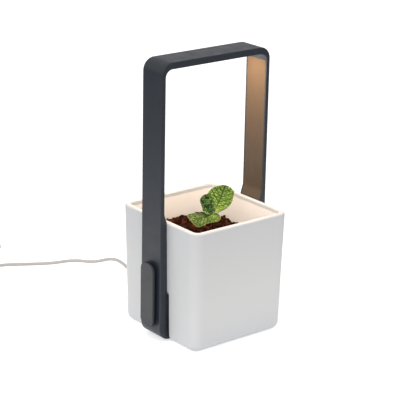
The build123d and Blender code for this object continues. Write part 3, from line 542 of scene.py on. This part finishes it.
class GARDEN_OT_cord(bpy.types.Operator):
    """Lays the cord over the table, winds what is left of it into a coil and ends it in its plug"""

    bl_idname = "garden.cord"
    bl_label = "Cord"

    def execute(self, context):
        sizes = context.scene.garden_cord
        points = np.array([CORD_EXIT, *CORD_ROUTE, *coil_points(), *TAIL_ROUTE]) * MM
        curve = bpy.data.curves.new("cord", "CURVE")
        curve.dimensions = "3D"
        curve.bevel_depth = sizes.diameter / 2
        curve.bevel_resolution = 5
        curve.resolution_u = curve.render_resolution_u = 6
        curve.use_fill_caps = True
        line = curve.splines.new("NURBS")
        line.points.add(len(points) - 1)
        line.points.foreach_set("co", np.c_[points, np.ones(len(points))].ravel())
        line.order_u = 3
        line.use_endpoint_u = True
        line.use_smooth = True

        sheath = moulded("cord_sheath", sizes.colour, 0.42, 0.0006, 0.00001, 0.015)
        cord = piece("cord", curve, "base", sheath)
        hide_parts("power_cord", "cord_coil", "cord_tail")
        dress(moulded("lead_mould", sizes.colour, 0.38, 0.0005, 0.00001), "strain_relief", "plug_body")
        strap = moulded("tie_strap", (0.03, 0.03, 0.032), 0.6, 0.0004, 0.00004)
        dress(strap, "cord_tie")
        dress(brushed("plug_steel", (0.62, 0.62, 0.63), 0.3, (0.05, 1.0, 1.0)), "plug_shell")
        return {"FINISHED"}


# ---------------------------------------------------------------- housing
class GARDEN_OT_shell(bpy.types.Operator):
    """Finishes the pot, the tub in it, the arch, its covers and the button"""

    bl_idname = "garden.shell"
    bl_label = "Pot and arch"

    def execute(self, context):
        colours = context.scene.garden_shell
        dress(moulded("pot_white", colours.pot, 0.38, 0.0006, 0.000012, 0.012), "planter_shell")
        dress(moulded("tub_cream", colours.tub, 0.45, 0.0007, 0.000015, 0.015), "reservoir_tub")
        arch = moulded("arch_slate", colours.arch, 0.42, 0.00035, 0.00002, 0.06)
        dress(arch, "arch_shell", "lamp_bezel")
        # Painted lamp light: the covers get a lighter, warmer copy of the arch's slate plastic, as if lit by
        # the grow lamp
        cover = moulded("cover_painted_lamp_light", colours.cover, 0.45, 0.00035, 0.00002, 0.05)
        dress(cover, "near_leg_cover", "far_leg_cover")
        dress(moulded("button_slate", colours.button, 0.4, 0.00035, 0.000015, 0.04), "lamp_button")
        return {"FINISHED"}


LED_PITCH = 0.012
LED_HALF = 0.00175


class GARDEN_OT_lamp(bpy.types.Operator):
    """Finishes the lamp: its opal window, the chips on its board, and the ribbon leads"""

    bl_idname = "garden.lamp"
    bl_label = "Lamp"

    def execute(self, context):
        opal = moulded("diffuser_opal", (0.92, 0.88, 0.80), 0.35, 0.0008, 0.00001, 0.01)
        low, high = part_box("led_chips")
        x = opal.node("ShaderNodeSeparateXYZ", {0: opal.place()}, output="X")
        phase = (x - low.x - LED_HALF) * (2 * pi / LED_PITCH)
        wave = opal.node("ShaderNodeMath", {0: phase}, operation="COSINE")
        opal.set("Emission Color", opal.mix(wave * 0.5 + 0.5, (1.0, 0.70, 0.38), (1.0, 0.82, 0.55)))
        opal.set("Emission Strength", 1.6)
        dress(opal, "lamp_diffuser")
        phosphor = moulded("led_phosphor", (0.86, 0.74, 0.22), 0.3, 0.0005, 0.00002)
        phosphor.set("Emission Color", (1.0, 0.75, 0.4))
        phosphor.set("Emission Strength", 1.0)
        dress(phosphor, "led_chips")
        ribbon = moulded("lead_ribbon", (0.45, 0.45, 0.46), 0.5, 0.0005, 0.00002)
        dress(ribbon, "lamp_lead", "switch_lead", "inlet_lead")
        return {"FINISHED"}


def board_green():
    """Solder mask over copper: straight tracks show through it as paler strips."""
    finish = Finish("board_green", Roughness=0.3)
    tracks = finish.node(
        "ShaderNodeTexVoronoi", {"Vector": finish.place(), "Scale": 1 / 0.004}, output="Distance",
        distance="CHEBYCHEV",
    )
    strip = finish.between(tracks, 0.0, 1.0, 0.46, 0.5)
    finish.set("Base Color", finish.mix(strip, (0.012, 0.10, 0.04), (0.03, 0.19, 0.08)))
    finish.bump(strip, 0.00003)
    return finish


class GARDEN_OT_inside(bpy.types.Operator):
    """Finishes the base, the boards, the screws, the basket and the wicks"""

    bl_idname = "garden.inside"
    bl_label = "Base and inside"

    def execute(self, context):
        colours = context.scene.garden_shell
        dress(moulded("base_slate", colours.base, 0.55, 0.0005, 0.00004, 0.05), "base_tray", "base_cover")
        rubber = moulded("foot_rubber", (0.022, 0.022, 0.023), 0.75, 0.0003, 0.00003, 0.1, 0.3)
        dress(rubber, "base_feet")
        dress(board_green(), "led_board", "control_board", "switch_board")
        black = moulded("component_black", (0.02, 0.02, 0.021), 0.5, 0.0002, 0.00001, 0.1)
        dress(black, "board_components", "tact_switch")
        steel = brushed("screw_steel", (0.6, 0.6, 0.61), 0.32, (1.0, 1.0, 0.2))
        dress(steel, "foot_screws", "cover_screws", "board_screws", "liner_screws")
        dress(moulded("basket_black", (0.025, 0.025, 0.026), 0.5, 0.0006, 0.00003, 0.08), "grow_basket")
        felt = Finish("wick_felt", Roughness=0.95, Specular_IOR_Level=0.15)
        fibres = felt.noise(0.0006, 5.0, (1.0, 1.0, 0.25))
        felt.set("Base Color", felt.mix(fibres, (0.52, 0.50, 0.45), (0.82, 0.80, 0.74)))
        felt.bump(fibres, 0.0003)
        dress(felt, "felt_wicks")
        return {"FINISHED"}


# ---------------------------------------------------------------- springs
SPRING = (7.0, 11.0, 0.3)  # width, length and thickness of a leaf spring


def bowed_strip(front, back, middle_z):
    """A bowed strip between two planes across X, as rings of one closed grid. Its ends close flat."""
    width, length, thickness = SPRING
    depth = back - front - thickness
    radius = ((length / 2) ** 2 + depth**2) / (2 * depth)
    bend = np.arcsin(length / 2 / radius)
    angle = np.linspace(-bend, bend, 33)
    angle = np.r_[angle[0], angle, angle[-1]]
    size = np.r_[0, np.ones(33), 0][:, None]
    turn = np.linspace(0, 2 * pi, 28, endpoint=False)
    across = width / 2 * np.sign(np.cos(turn)) * np.abs(np.cos(turn)) ** 0.25 * size
    outwards = radius + thickness / 2 * np.sign(np.sin(turn)) * np.abs(np.sin(turn)) ** 0.5 * size
    x = front + thickness / 2 + radius - outwards * np.cos(angle)[:, None]
    z = middle_z + outwards * np.sin(angle)[:, None]
    return np.stack([x, across, z], -1)


class GARDEN_OT_springs(bpy.types.Operator):
    """Bends the two leaf springs behind the button, which flatten as the button goes in"""

    bl_idname = "garden.springs"
    bl_label = "Springs"

    def execute(self, context):
        low, high = (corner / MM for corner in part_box("button_springs"))
        from_end = (SPRING[1] + SPRING[2]) / 2
        strips = np.stack([bowed_strip(low.x, high.x, z) for z in (low.z + from_end, high.z - from_end)])
        one = grid_faces(*strips.shape[1:3], round_columns=True)
        faces = np.concatenate([one, one + strips[0].size // 3])
        steel = brushed("spring_steel", (0.6, 0.6, 0.61), 0.28, (1.0, 0.1, 1.0))
        mesh = grid_mesh("button_leaf_springs", strips * MM, faces)
        springs = piece("button_leaf_springs", mesh, "base", steel)
        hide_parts("button_springs")
        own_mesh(springs)
        return {"FINISHED"}


# ---------------------------------------------------------------- soil
SOIL_MIDDLE = (2.6, 0.0)
SOIL_HALF = (52.3, 53.7)
SOIL_CORNER = 4.4
SOIL_LEVEL = 96.5
SOIL_SLOPE = (-0.04, 0.06)
SOIL_SKIRT = 88.0  # height of the ring between the bed's edge and its foot
SOIL_FOOT = 64.4
SOIL_DIP = 2.2  # from the plane of the soil down to the ground between its lumps
CRUMB = 0.62
MOUNDS = [  # x, y, height and radius of the larger clods
    (30.0, 47.0, 2.8, 10.0), (44.0, 29.0, 3.2, 9.5), (48.0, 8.0, 2.6, 8.0), (12.0, 49.0, 1.8, 9.0),
    (-8.0, 48.0, 2.0, 10.0), (-28.0, 44.0, 1.9, 10.0), (-44.0, 29.0, 1.9, 9.0), (-44.0, 7.0, 1.9, 9.0),
    (-24.0, 20.0, 2.3, 10.0), (-3.0, 27.0, 2.0, 9.0), (18.0, 27.0, 1.8, 9.0), (28.0, 7.0, 2.4, 9.5),
    (-14.0, -3.0, 2.1, 9.0), (-35.0, -13.0, 2.4, 9.5), (-46.0, -33.0, 1.9, 8.5), (-24.0, -31.0, 2.3, 9.5),
    (-4.0, -21.0, 1.9, 8.5), (14.0, -31.0, 2.4, 10.0), (34.0, -15.0, 2.2, 9.0), (45.0, -33.0, 2.0, 9.0),
    (30.0, -47.0, 1.8, 8.5), (3.0, -48.0, 1.9, 9.0), (-27.0, -49.0, 1.7, 8.5),
]


def soil_plan(u, v, inset=0.0):
    """A square grid carried onto a rectangle with round corners: past the centre of a corner, a point's
    offset is shortened so that the square's edge falls on the arc."""
    half = np.array(SOIL_HALF) - inset
    flat = np.stack([u * half[0], v * half[1]], -1)
    over = np.maximum(np.abs(flat) - (half - SOIL_CORNER), 0)
    far, reach = np.hypot(over[..., 0], over[..., 1]), over.max(-1)
    kept = over * (reach / np.maximum(far, 1e-9))[..., None]
    return np.sign(flat) * (np.abs(flat) - over + kept)


def soil_ground(x, y):
    """The sloping plane of the soil, with the larger clods on it as low caps of balls: a cap's ball is as
    wide as makes it stand its height over the plane at its middle and meet the plane at its radius."""
    ground = SOIL_LEVEL + SOIL_SLOPE[0] * x + SOIL_SLOPE[1] * y
    for at_x, at_y, rise, radius in MOUNDS:
        ball = (radius**2 + rise**2) / (2 * rise)
        level = SOIL_LEVEL + SOIL_SLOPE[0] * at_x + SOIL_SLOPE[1] * at_y
        rest = ball**2 - (x - at_x) ** 2 - (y - at_y) ** 2
        ground = np.maximum(ground, level + rise - ball + np.sqrt(np.maximum(rest, 0)))
    return ground


def soil_surface(count, lumps, radius, rng):
    """Height of the soil on a square grid: the highest of many round lumps sunk to random depths in the
    sloping ground, each with a wavy outline. Also gives each point the tone of its lump, and the ground
    between the lumps a low tone that the soil's ramp makes near-black: painted shade in the gaps."""
    u, v = np.meshgrid(np.linspace(-1, 1, count), np.linspace(-1, 1, count), indexing="ij")
    plan = soil_plan(u, v)
    x, y = plan[..., 0], plan[..., 1]
    height = soil_ground(x, y) - SOIL_DIP
    # The ground between the lumps keeps a low tone, near-black in the soil's colour: painted shade in the
    # gaps
    tone = np.full(height.shape, 0.05)
    places = soil_plan(*rng.uniform(-0.985, 0.985, (2, lumps)))
    sizes = radius * np.minimum(rng.lognormal(0.0, 0.42, lumps), 1.7)
    for (at_x, at_y), size, phase, lobes, lift, shade_of in zip(
        places, sizes, rng.uniform(0, 2 * pi, lumps), rng.integers(2, 5, lumps),
        rng.uniform(-1.35, -0.5, lumps), rng.uniform(0, 1, lumps),
    ):
        near = (np.abs(x - at_x) < 1.4 * size) & (np.abs(y - at_y) < 1.4 * size)
        dx, dy = x[near] - at_x, y[near] - at_y
        wave = 1 + 0.22 * np.sin(lobes * np.arctan2(dy, dx) + phase)
        rest = 1 - (dx**2 + dy**2) / (size * wave) ** 2
        dome = soil_ground(at_x, at_y) + size * (lift + 0.9 * np.sqrt(np.maximum(rest, 0)))
        higher = (rest > 0) & (dome > height[near])
        height[near] = np.where(higher, dome, height[near])
        tone[near] = np.where(higher, shade_of, tone[near])
    return plan, height, tone


class GARDEN_OT_soil(bpy.types.Operator):
    """Fills the basket with soil: a lumpy surface on a closed bed, and loose crumbs on it"""

    bl_idname = "garden.soil"
    bl_label = "Soil"

    def execute(self, context):
        sizes = context.scene.garden_soil
        rng = np.random.default_rng(sizes.seed)
        count = 210
        plan, height, tone = soil_surface(count, sizes.lumps, sizes.lump / MM, rng)
        earth = Finish("soil_peat", Roughness=0.92, Specular_IOR_Level=0.1)
        # The ground's low tone reaches the ramp's near-black end, painted shade between the lumps; the lumps'
        # tones differ at random
        mottle = earth.attribute("tone") * 0.75 + earth.noise(0.0012, 3.0) * 0.35
        earth.set("Base Color", earth.ramp(
            mottle,
            (0.0, (0.0015, 0.0006, 0.0004)),
            (0.4, (0.012, 0.0036, 0.0018)),
            (0.75, (0.046, 0.0125, 0.006)),
            (1.0, (0.09, 0.030, 0.016)),
        ))
        earth.bump(earth.noise(0.0007, 4.0), 0.0004)

        # The bed: the surface, then a skirt round its edge, then the foot, as rings of one closed grid
        edge = np.r_[
            np.arange(count - 1), (count - 1) + count * np.arange(count - 1),
            count * count - 1 - np.arange(count - 1), count * (count - 1) - count * np.arange(count - 1),
        ]
        middle = np.array(SOIL_MIDDLE)
        top = np.concatenate([plan + middle, height[..., None]], -1).reshape(-1, 3)
        rim = top[edge]
        walls = [np.c_[rim[:, :2], np.full(len(rim), z)] for z in (SOIL_SKIRT, SOIL_FOOT)]
        centre = np.c_[np.tile(middle, (len(rim), 1)), np.full(len(rim), SOIL_FOOT)]
        rings = np.stack([rim, *walls, centre])
        ring_faces = grid_faces(len(rings), len(rim), round_columns=True) + len(top)
        points = np.concatenate([top, rings.reshape(-1, 3)])
        faces = np.concatenate([grid_faces(count, count), ring_faces])
        tones = np.concatenate([tone.ravel(), np.tile(tone.ravel()[edge], len(rings))])
        mesh = grid_mesh("soil_bed", points * MM, faces, {"tone": tones})
        bed = piece("soil_bed", mesh, "grow_tray", earth)
        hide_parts("soil")

        # Crumbs: small balls whose radius is uneven, half sunk in the surface
        rows, columns = 7, 9
        down = np.linspace(0, pi, rows)[:, None]
        around = np.linspace(0, 2 * pi, columns, endpoint=False)[None]
        ball = np.stack([
            np.sin(down) * np.cos(around), np.sin(down) * np.sin(around), np.cos(down) * np.ones(columns)
        ], -1)
        picks = rng.integers(4, count - 4, (2, sizes.crumbs))
        spots = top.reshape(count, count, 3)[picks[0], picks[1]]
        width = CRUMB * rng.lognormal(0.0, 0.45, (sizes.crumbs, 1, 1, 1))
        uneven = rng.uniform(0.7, 1.3, (sizes.crumbs, rows, columns, 1))
        uneven[:, 0], uneven[:, -1] = 1.0, 1.0
        stretch = rng.uniform(0.6, 1.4, (sizes.crumbs, 1, 1, 3))
        crumbs = spots[:, None, None] + ball * width * uneven * stretch + (0, 0, 0.1)
        offsets = (np.arange(sizes.crumbs) * rows * columns)[:, None, None]
        faces = (grid_faces(rows, columns, round_columns=True)[None] + offsets).reshape(-1, 4)
        tones = np.repeat(rng.uniform(0.1, 1.0, sizes.crumbs), rows * columns)
        mesh = grid_mesh("soil_crumbs", crumbs * MM, faces, {"tone": tones})
        piece("soil_crumbs", mesh, "grow_tray", earth)
        return {"FINISHED"}


# ---------------------------------------------------------------- seedling
JOINT = (14.1, -1.0, 119.0)  # where the stalks part
# Each leaf lies in a plane from its base to its tip, its upper side turned to facing. In that plane:
#   outline, hub        the edge and the point that its rings start from, along and across the leaf
#   rib, rib_at         turn of the middle rib, and its offset across the leaf
#   ball, side          radius of the ball it is cupped to, and which way
#   vein_gap, slant     distance between side veins along the rib, and how far they lean to the tip
#   cell, width, gaps   size of a cell, width of a vein, and how much veins fade in the darker cells
#   blade, spread, net  darkest and palest blade, how rare the pale is (on the low leaf, painted highlights),
#   and the veins' colour
#   root, root_reach    colour by the stalk and how far it reaches (on the curled leaf, painted shade by the joint)
#   margin              colour of the edge
LEAVES = {
    "leaf_tall": dict(
        base=(15.0, -0.8, 119.95), tip=(32.1, 3.0, 145.0), facing=(-0.6, -0.7, 0.45),
        outline=[
            (0.6, -0.3), (0.7, -3.4), (3.7, -6.4), (7.5, -9.4), (12.0, -11.6), (16.4, -12.6), (21.2, -12.0),
            (24.9, -11.5), (27.4, -10.3), (28.9, -7.8), (29.9, -4.4), (30.0, -0.8), (28.9, 3.2), (26.3, 7.2),
            (23.4, 10.5), (20.5, 12.3), (17.3, 13.3), (14.2, 13.3), (11.3, 11.4), (8.9, 7.6), (6.8, 4.1),
            (3.9, 1.4),
        ],
        hub=(15.0, 0.0), rib=0.0, rib_at=0.0, ball=34.0, side=1, vein_gap=5.6, slant=0.8, cell=3.3,
        width=0.7, gaps=0.2, blade=((0.09, 0.185, 0.02), (0.265, 0.40, 0.095)), spread=1.0,
        net=(0.011, 0.040, 0.003), root=(0.26, 0.36, 0.05), root_reach=4.5, margin=(0.15, 0.22, 0.04),
    ),
    "leaf_curled": dict(
        base=(13.2, -0.5, 119.95), tip=(4.1, 4.5, 137.0), facing=(-0.1, -0.75, 0.3),
        outline=[
            (-0.7, 0.6), (-0.2, 3.3), (1.3, 5.8), (4.0, 8.0), (6.8, 8.9), (8.1, 7.9), (10.6, 6.2),
            (13.7, 5.8), (17.2, 6.0), (20.4, 5.6), (21.8, 2.6), (21.6, -0.9), (18.9, -5.5), (14.9, -7.0),
            (9.7, -7.3), (5.2, -6.4), (1.4, -4.5), (-0.4, -2.3),
        ],
        hub=(10.0, 0.2), rib=0.0, rib_at=-4.6, ball=15.0, side=1, vein_gap=2.4, slant=0.9, cell=1.8,
        width=0.5, gaps=1.0, blade=((0.012, 0.046, 0.003), (0.049, 0.142, 0.007)), spread=1.0,
        net=(0.42, 0.66, 0.22), root=(0.008, 0.034, 0.010), root_reach=7.5, margin=(0.08, 0.12, 0.03),
    # root: darker than the blade, a painted shade by the joint
    ),
    "leaf_low": dict(
        base=(12.6, -1.7, 116.8), tip=(-11.4, -2.0, 112.12), facing=(-0.2, -0.28, 1.0),
        outline=[
            (0.3, -1.2), (-4.1, -3.2), (-6.4, -2.2), (-6.5, 2.2), (-4.6, 6.4), (-1.0, 9.0), (2.4, 9.4),
            (6.4, 9.0), (9.9, 8.6), (14.0, 7.8), (18.5, 7.4), (21.9, 6.4), (24.4, 4.6), (25.0, 1.6),
            (24.8, -2.9), (23.9, -8.3), (22.0, -13.5), (20.2, -17.2), (16.8, -18.6), (12.9, -16.0),
            (10.0, -11.4), (6.8, -7.5), (3.4, -4.2),
        ],
        hub=(10.0, -2.0), rib=-0.2, rib_at=0.0, ball=60.0, side=-1, vein_gap=4.4, slant=0.9, cell=2.4,
        # blade: mottled green whose rare pale cells are painted highlights
        width=0.6, gaps=0.3, blade=((0.028, 0.064, 0.004), (0.37, 0.51, 0.165)), spread=2.1,
        net=(0.013, 0.040, 0.003), root=(0.16, 0.26, 0.035), root_reach=5.0, margin=(0.24, 0.25, 0.07),
    ),
}


def leaf_net(across_points, leaf, rng):
    """Veins of a leaf. Side veins leave the rib on both sides at one slant, and cells lie in rows between
    them. A point's swelling grows with its distance from the nearest border of a cell, and its vein mask
    is 1 on the rib and falls off beside a vein. Each cell has a tone of its own, and the veins fade in
    the darker cells."""
    turn = leaf["rib"]
    along = across_points[..., 0] * cos(turn) + across_points[..., 1] * sin(turn)
    across = across_points[..., 1] * cos(turn) - across_points[..., 0] * sin(turn) - leaf["rib_at"]
    gap, slant, cell = leaf["vein_gap"], leaf["slant"], leaf["cell"]
    order = (along - slant * np.abs(across)) / gap
    from_side = np.abs(order - np.round(order)) * gap / np.hypot(1, slant)
    row, column, half = np.meshgrid(np.arange(-18, 24), np.arange(0, 12), (-1, 1), indexing="ij")
    seed_order = row / 2 + 0.25 + rng.uniform(-0.09, 0.09, row.shape)
    seed_across = (column + 0.5 + rng.uniform(-0.28, 0.28, row.shape)) * cell * half
    seed_along = seed_order * gap + slant * np.abs(seed_across)
    seeds = np.stack([seed_along, seed_across], -1).reshape(-1, 2)
    here = np.stack([along, across], -1).reshape(-1, 1, 2).astype(np.float32)
    apart = np.linalg.norm(here - seeds[None].astype(np.float32), axis=-1)
    tone = rng.uniform(0, 1, len(seeds))[np.argmin(apart, axis=1)].reshape(along.shape)
    nearest = np.partition(apart, 1, axis=1)[:, :2]
    border = (nearest[:, 1] - nearest[:, 0]).reshape(along.shape)
    swelling = 1 - np.exp(-((border / (0.42 * cell)) ** 2))
    rib_mask = np.exp(-((across / 0.8) ** 2))
    side_mask = np.exp(-((from_side / leaf["width"]) ** 2))
    borders = 0.9 * np.exp(-((border / leaf["width"]) ** 2)) * (leaf["gaps"] < 1)
    vein = np.maximum(side_mask, borders) * (1 - leaf["gaps"] * (tone < 0.45))
    vein = np.maximum(vein, rib_mask * (leaf["gaps"] < 1))
    return swelling * (0.6 + 0.4 * tone) * (1 - 0.7 * rib_mask), vein, tone


def leaf_points(leaf, swell, rng, rings=72, around=320):
    """A leaf as a grid: rings from its hub to its outline. Its height over its own plane is that of a ball,
    plus a wave that grows towards the edge, plus the swelling between the veins."""
    outline = smooth_line(leaf["outline"], around, closed=True)
    angle = np.linspace(0, 2 * pi, around, endpoint=False)
    hub = np.array(leaf["hub"])
    serration = 1 + 0.008 * np.sin(31 * angle + rng.uniform(0, 6)) + 0.006 * np.sin(17 * angle)
    out = np.linspace(0, 1, rings)[:, None, None]
    flat = hub + (outline - hub) * serration[:, None] * out
    swelling, vein, tone = leaf_net(flat, leaf, rng)
    base, tip = np.array(leaf["base"]), np.array(leaf["tip"])
    length = np.linalg.norm(tip - base)
    along = (tip - base) / length
    facing = np.array(leaf["facing"]) - along * np.dot(leaf["facing"], along)
    facing = facing / np.linalg.norm(facing)
    middle = np.sqrt(leaf["ball"] ** 2 - (length / 2) ** 2)
    rest = leaf["ball"] ** 2 - (flat[..., 0] - length / 2) ** 2 - flat[..., 1] ** 2
    height = leaf["side"] * (middle - np.sqrt(np.maximum(rest, 1.0)))
    edge = out[..., 0] * np.ones(around)
    height = height + 0.5 * edge**4 * np.sin(4 * angle + rng.uniform(0, 6))
    height = height + swell * swelling * (1 - edge**12)
    points = base + flat[..., :1] * along + flat[..., 1:] * np.cross(facing, along)
    root = np.exp(-((np.linalg.norm(flat, axis=-1) / leaf["root_reach"]) ** 2))
    return points + height[..., None] * facing, {"vein": vein, "edge": edge, "tone": tone, "root": root}


def leaf_finish(name, leaf):
    """Leaf skin: cells of uneven green between veins of another green (on the low leaf its rare pale cells
    are painted highlights), another colour near the stalk (on the curled leaf a painted shade by the joint),
    a thin margin and a waxy gloss."""
    finish = Finish(name, Specular_IOR_Level=0.3)
    cells = finish.attribute("tone") * 0.6 + finish.noise(0.004, 3.0) * 0.4
    blade = finish.mix(cells ** leaf["spread"], *leaf["blade"])
    skin = finish.mix(finish.attribute("vein"), blade, leaf["net"])
    rooted = finish.mix(finish.attribute("root"), skin, leaf["root"])
    rim = finish.between(finish.attribute("edge"), 0.0, 0.8, 0.93, 1.0)
    finish.set("Base Color", finish.mix(rim, rooted, leaf["margin"]))
    finish.set("Roughness", finish.between(finish.noise(0.0015), 0.32, 0.52))
    finish.bump(finish.noise(0.0004, 3.0), 0.0002)
    return finish


class GARDEN_OT_seedling(bpy.types.Operator):
    """Grows the seedling: its stem and stalks, and three puckered leaves"""

    bl_idname = "garden.seedling"
    bl_label = "Seedling"

    def execute(self, context):
        sizes = context.scene.garden_seedling
        rng = np.random.default_rng(sizes.seed)
        for name, leaf in LEAVES.items():
            points, values = leaf_points(leaf, sizes.swell / MM, rng)
            faces = grid_faces(*points.shape[:2], round_columns=True)
            mesh = grid_mesh(f"{name}_blade", points * MM, faces, values)
            finish = leaf_finish(f"{name}_skin", leaf)
            blade = piece(f"{name}_blade", mesh, "grow_tray", finish)
            skin = blade.modifiers.new("thickness", "SOLIDIFY")
            skin.thickness = sizes.thickness
            skin.offset = 0.0
            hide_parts(name)

        # The stem, then the stalks of the tall, the curled and the low leaf, with their radii at both ends
        stalks = [
            ([(11.7, -2.0, 94.0), (11.9, -1.9, 102.0), (12.9, -1.5, 110.0), JOINT], (1.1, 1.0)),
            (
                [(13.5, -1.2, 117.0), JOINT, (14.9, -0.75, 120.1), (15.9, -0.45, 121.6), (17.0, -0.2, 123.2)],
                (1.0, 0.4),
            ),
            (
                [(14.2, -1.2, 117.2), (13.8, -0.9, 118.9), (13.3, -0.5, 120.1), (12.9, -0.2, 121.2)],
                (1.0, 0.4),
            ),
            (
                [(14.2, -0.8, 118.6), (13.2, -1.4, 118.2), (10.6, -2.1, 116.9), (6.0, -2.3, 116.6)],
                (1.0, 0.45),
            ),
        ]
        rows, around = 26, 20
        meshes = []
        for route, (start, end) in stalks:
            line = smooth_line(route, rows)
            radii = np.linspace(start, end, rows)
            radii[-1] = radii[0] = 0.0
            meshes.append(tube_points(line, radii, around))
        faces = np.concatenate([
            grid_faces(rows, around, round_columns=True) + index * rows * around
            for index in range(len(meshes))
        ])
        flesh = Finish("stalk_green", Specular_IOR_Level=0.2)
        streaks = flesh.noise(0.0012, 3.0, (1.0, 1.0, 0.3))
        height = flesh.node("ShaderNodeSeparateXYZ", {0: flesh.place()}, output="Z")
        green = flesh.mix(streaks, (0.07, 0.15, 0.018), (0.20, 0.30, 0.045))
        # Below about 108 to 116 mm the stem takes a near-black brown: painted shade under the leaves
        above_painted_shade = flesh.between(height, 0.0, 1.0, 0.108, 0.116)
        flesh.set("Base Color", flesh.mix(above_painted_shade, (0.02, 0.014, 0.007), green))
        flesh.set("Roughness", flesh.between(streaks, 0.35, 0.55))
        flesh.bump(streaks, 0.00015)
        mesh = grid_mesh("stem_and_stalks", np.stack(meshes) * MM, faces)
        stalk = piece("stem_and_stalks", mesh, "grow_tray", flesh)
        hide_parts("seedling_stem")
        return {"FINISHED"}


# ---------------------------------------------------------------- add-on
OPERATORS = (
    GARDEN_OT_stage,
    GARDEN_OT_cord,
    GARDEN_OT_shell,
    GARDEN_OT_lamp,
    GARDEN_OT_inside,
    GARDEN_OT_springs,
    GARDEN_OT_soil,
    GARDEN_OT_seedling,
)


class GARDEN_PT_panel(bpy.types.Panel):
    """Lists the garden's sizes, colours and pieces"""

    bl_idname = "GARDEN_PT_panel"
    bl_label = "Garden"
    bl_space_type = "VIEW_3D"
    bl_region_type = "UI"
    bl_category = "Garden"

    def draw(self, context):
        for name in GROUPS:
            group = getattr(context.scene, name)
            box = self.layout.box()
            for title in group.bl_rna.properties.keys():
                if title not in ("rna_type", "name"):
                    box.prop(group, title)
        for operator in OPERATORS:
            self.layout.operator(operator.bl_idname)


def register():
    for kind in (*GROUPS.values(), *OPERATORS, GARDEN_PT_panel):
        bpy.utils.register_class(kind)
    for name, group in GROUPS.items():
        setattr(bpy.types.Scene, name, PointerProperty(type=group))


def unregister():
    for name in GROUPS:
        delattr(bpy.types.Scene, name)
    for kind in (GARDEN_PT_panel, *reversed(OPERATORS), *GROUPS.values()):
        bpy.utils.unregister_class(kind)


def main():
    register()
    for operator in OPERATORS:
        group, name = operator.bl_idname.split(".")
        getattr(getattr(bpy.ops, group), name)()


if __name__ == "__main__":
    main()
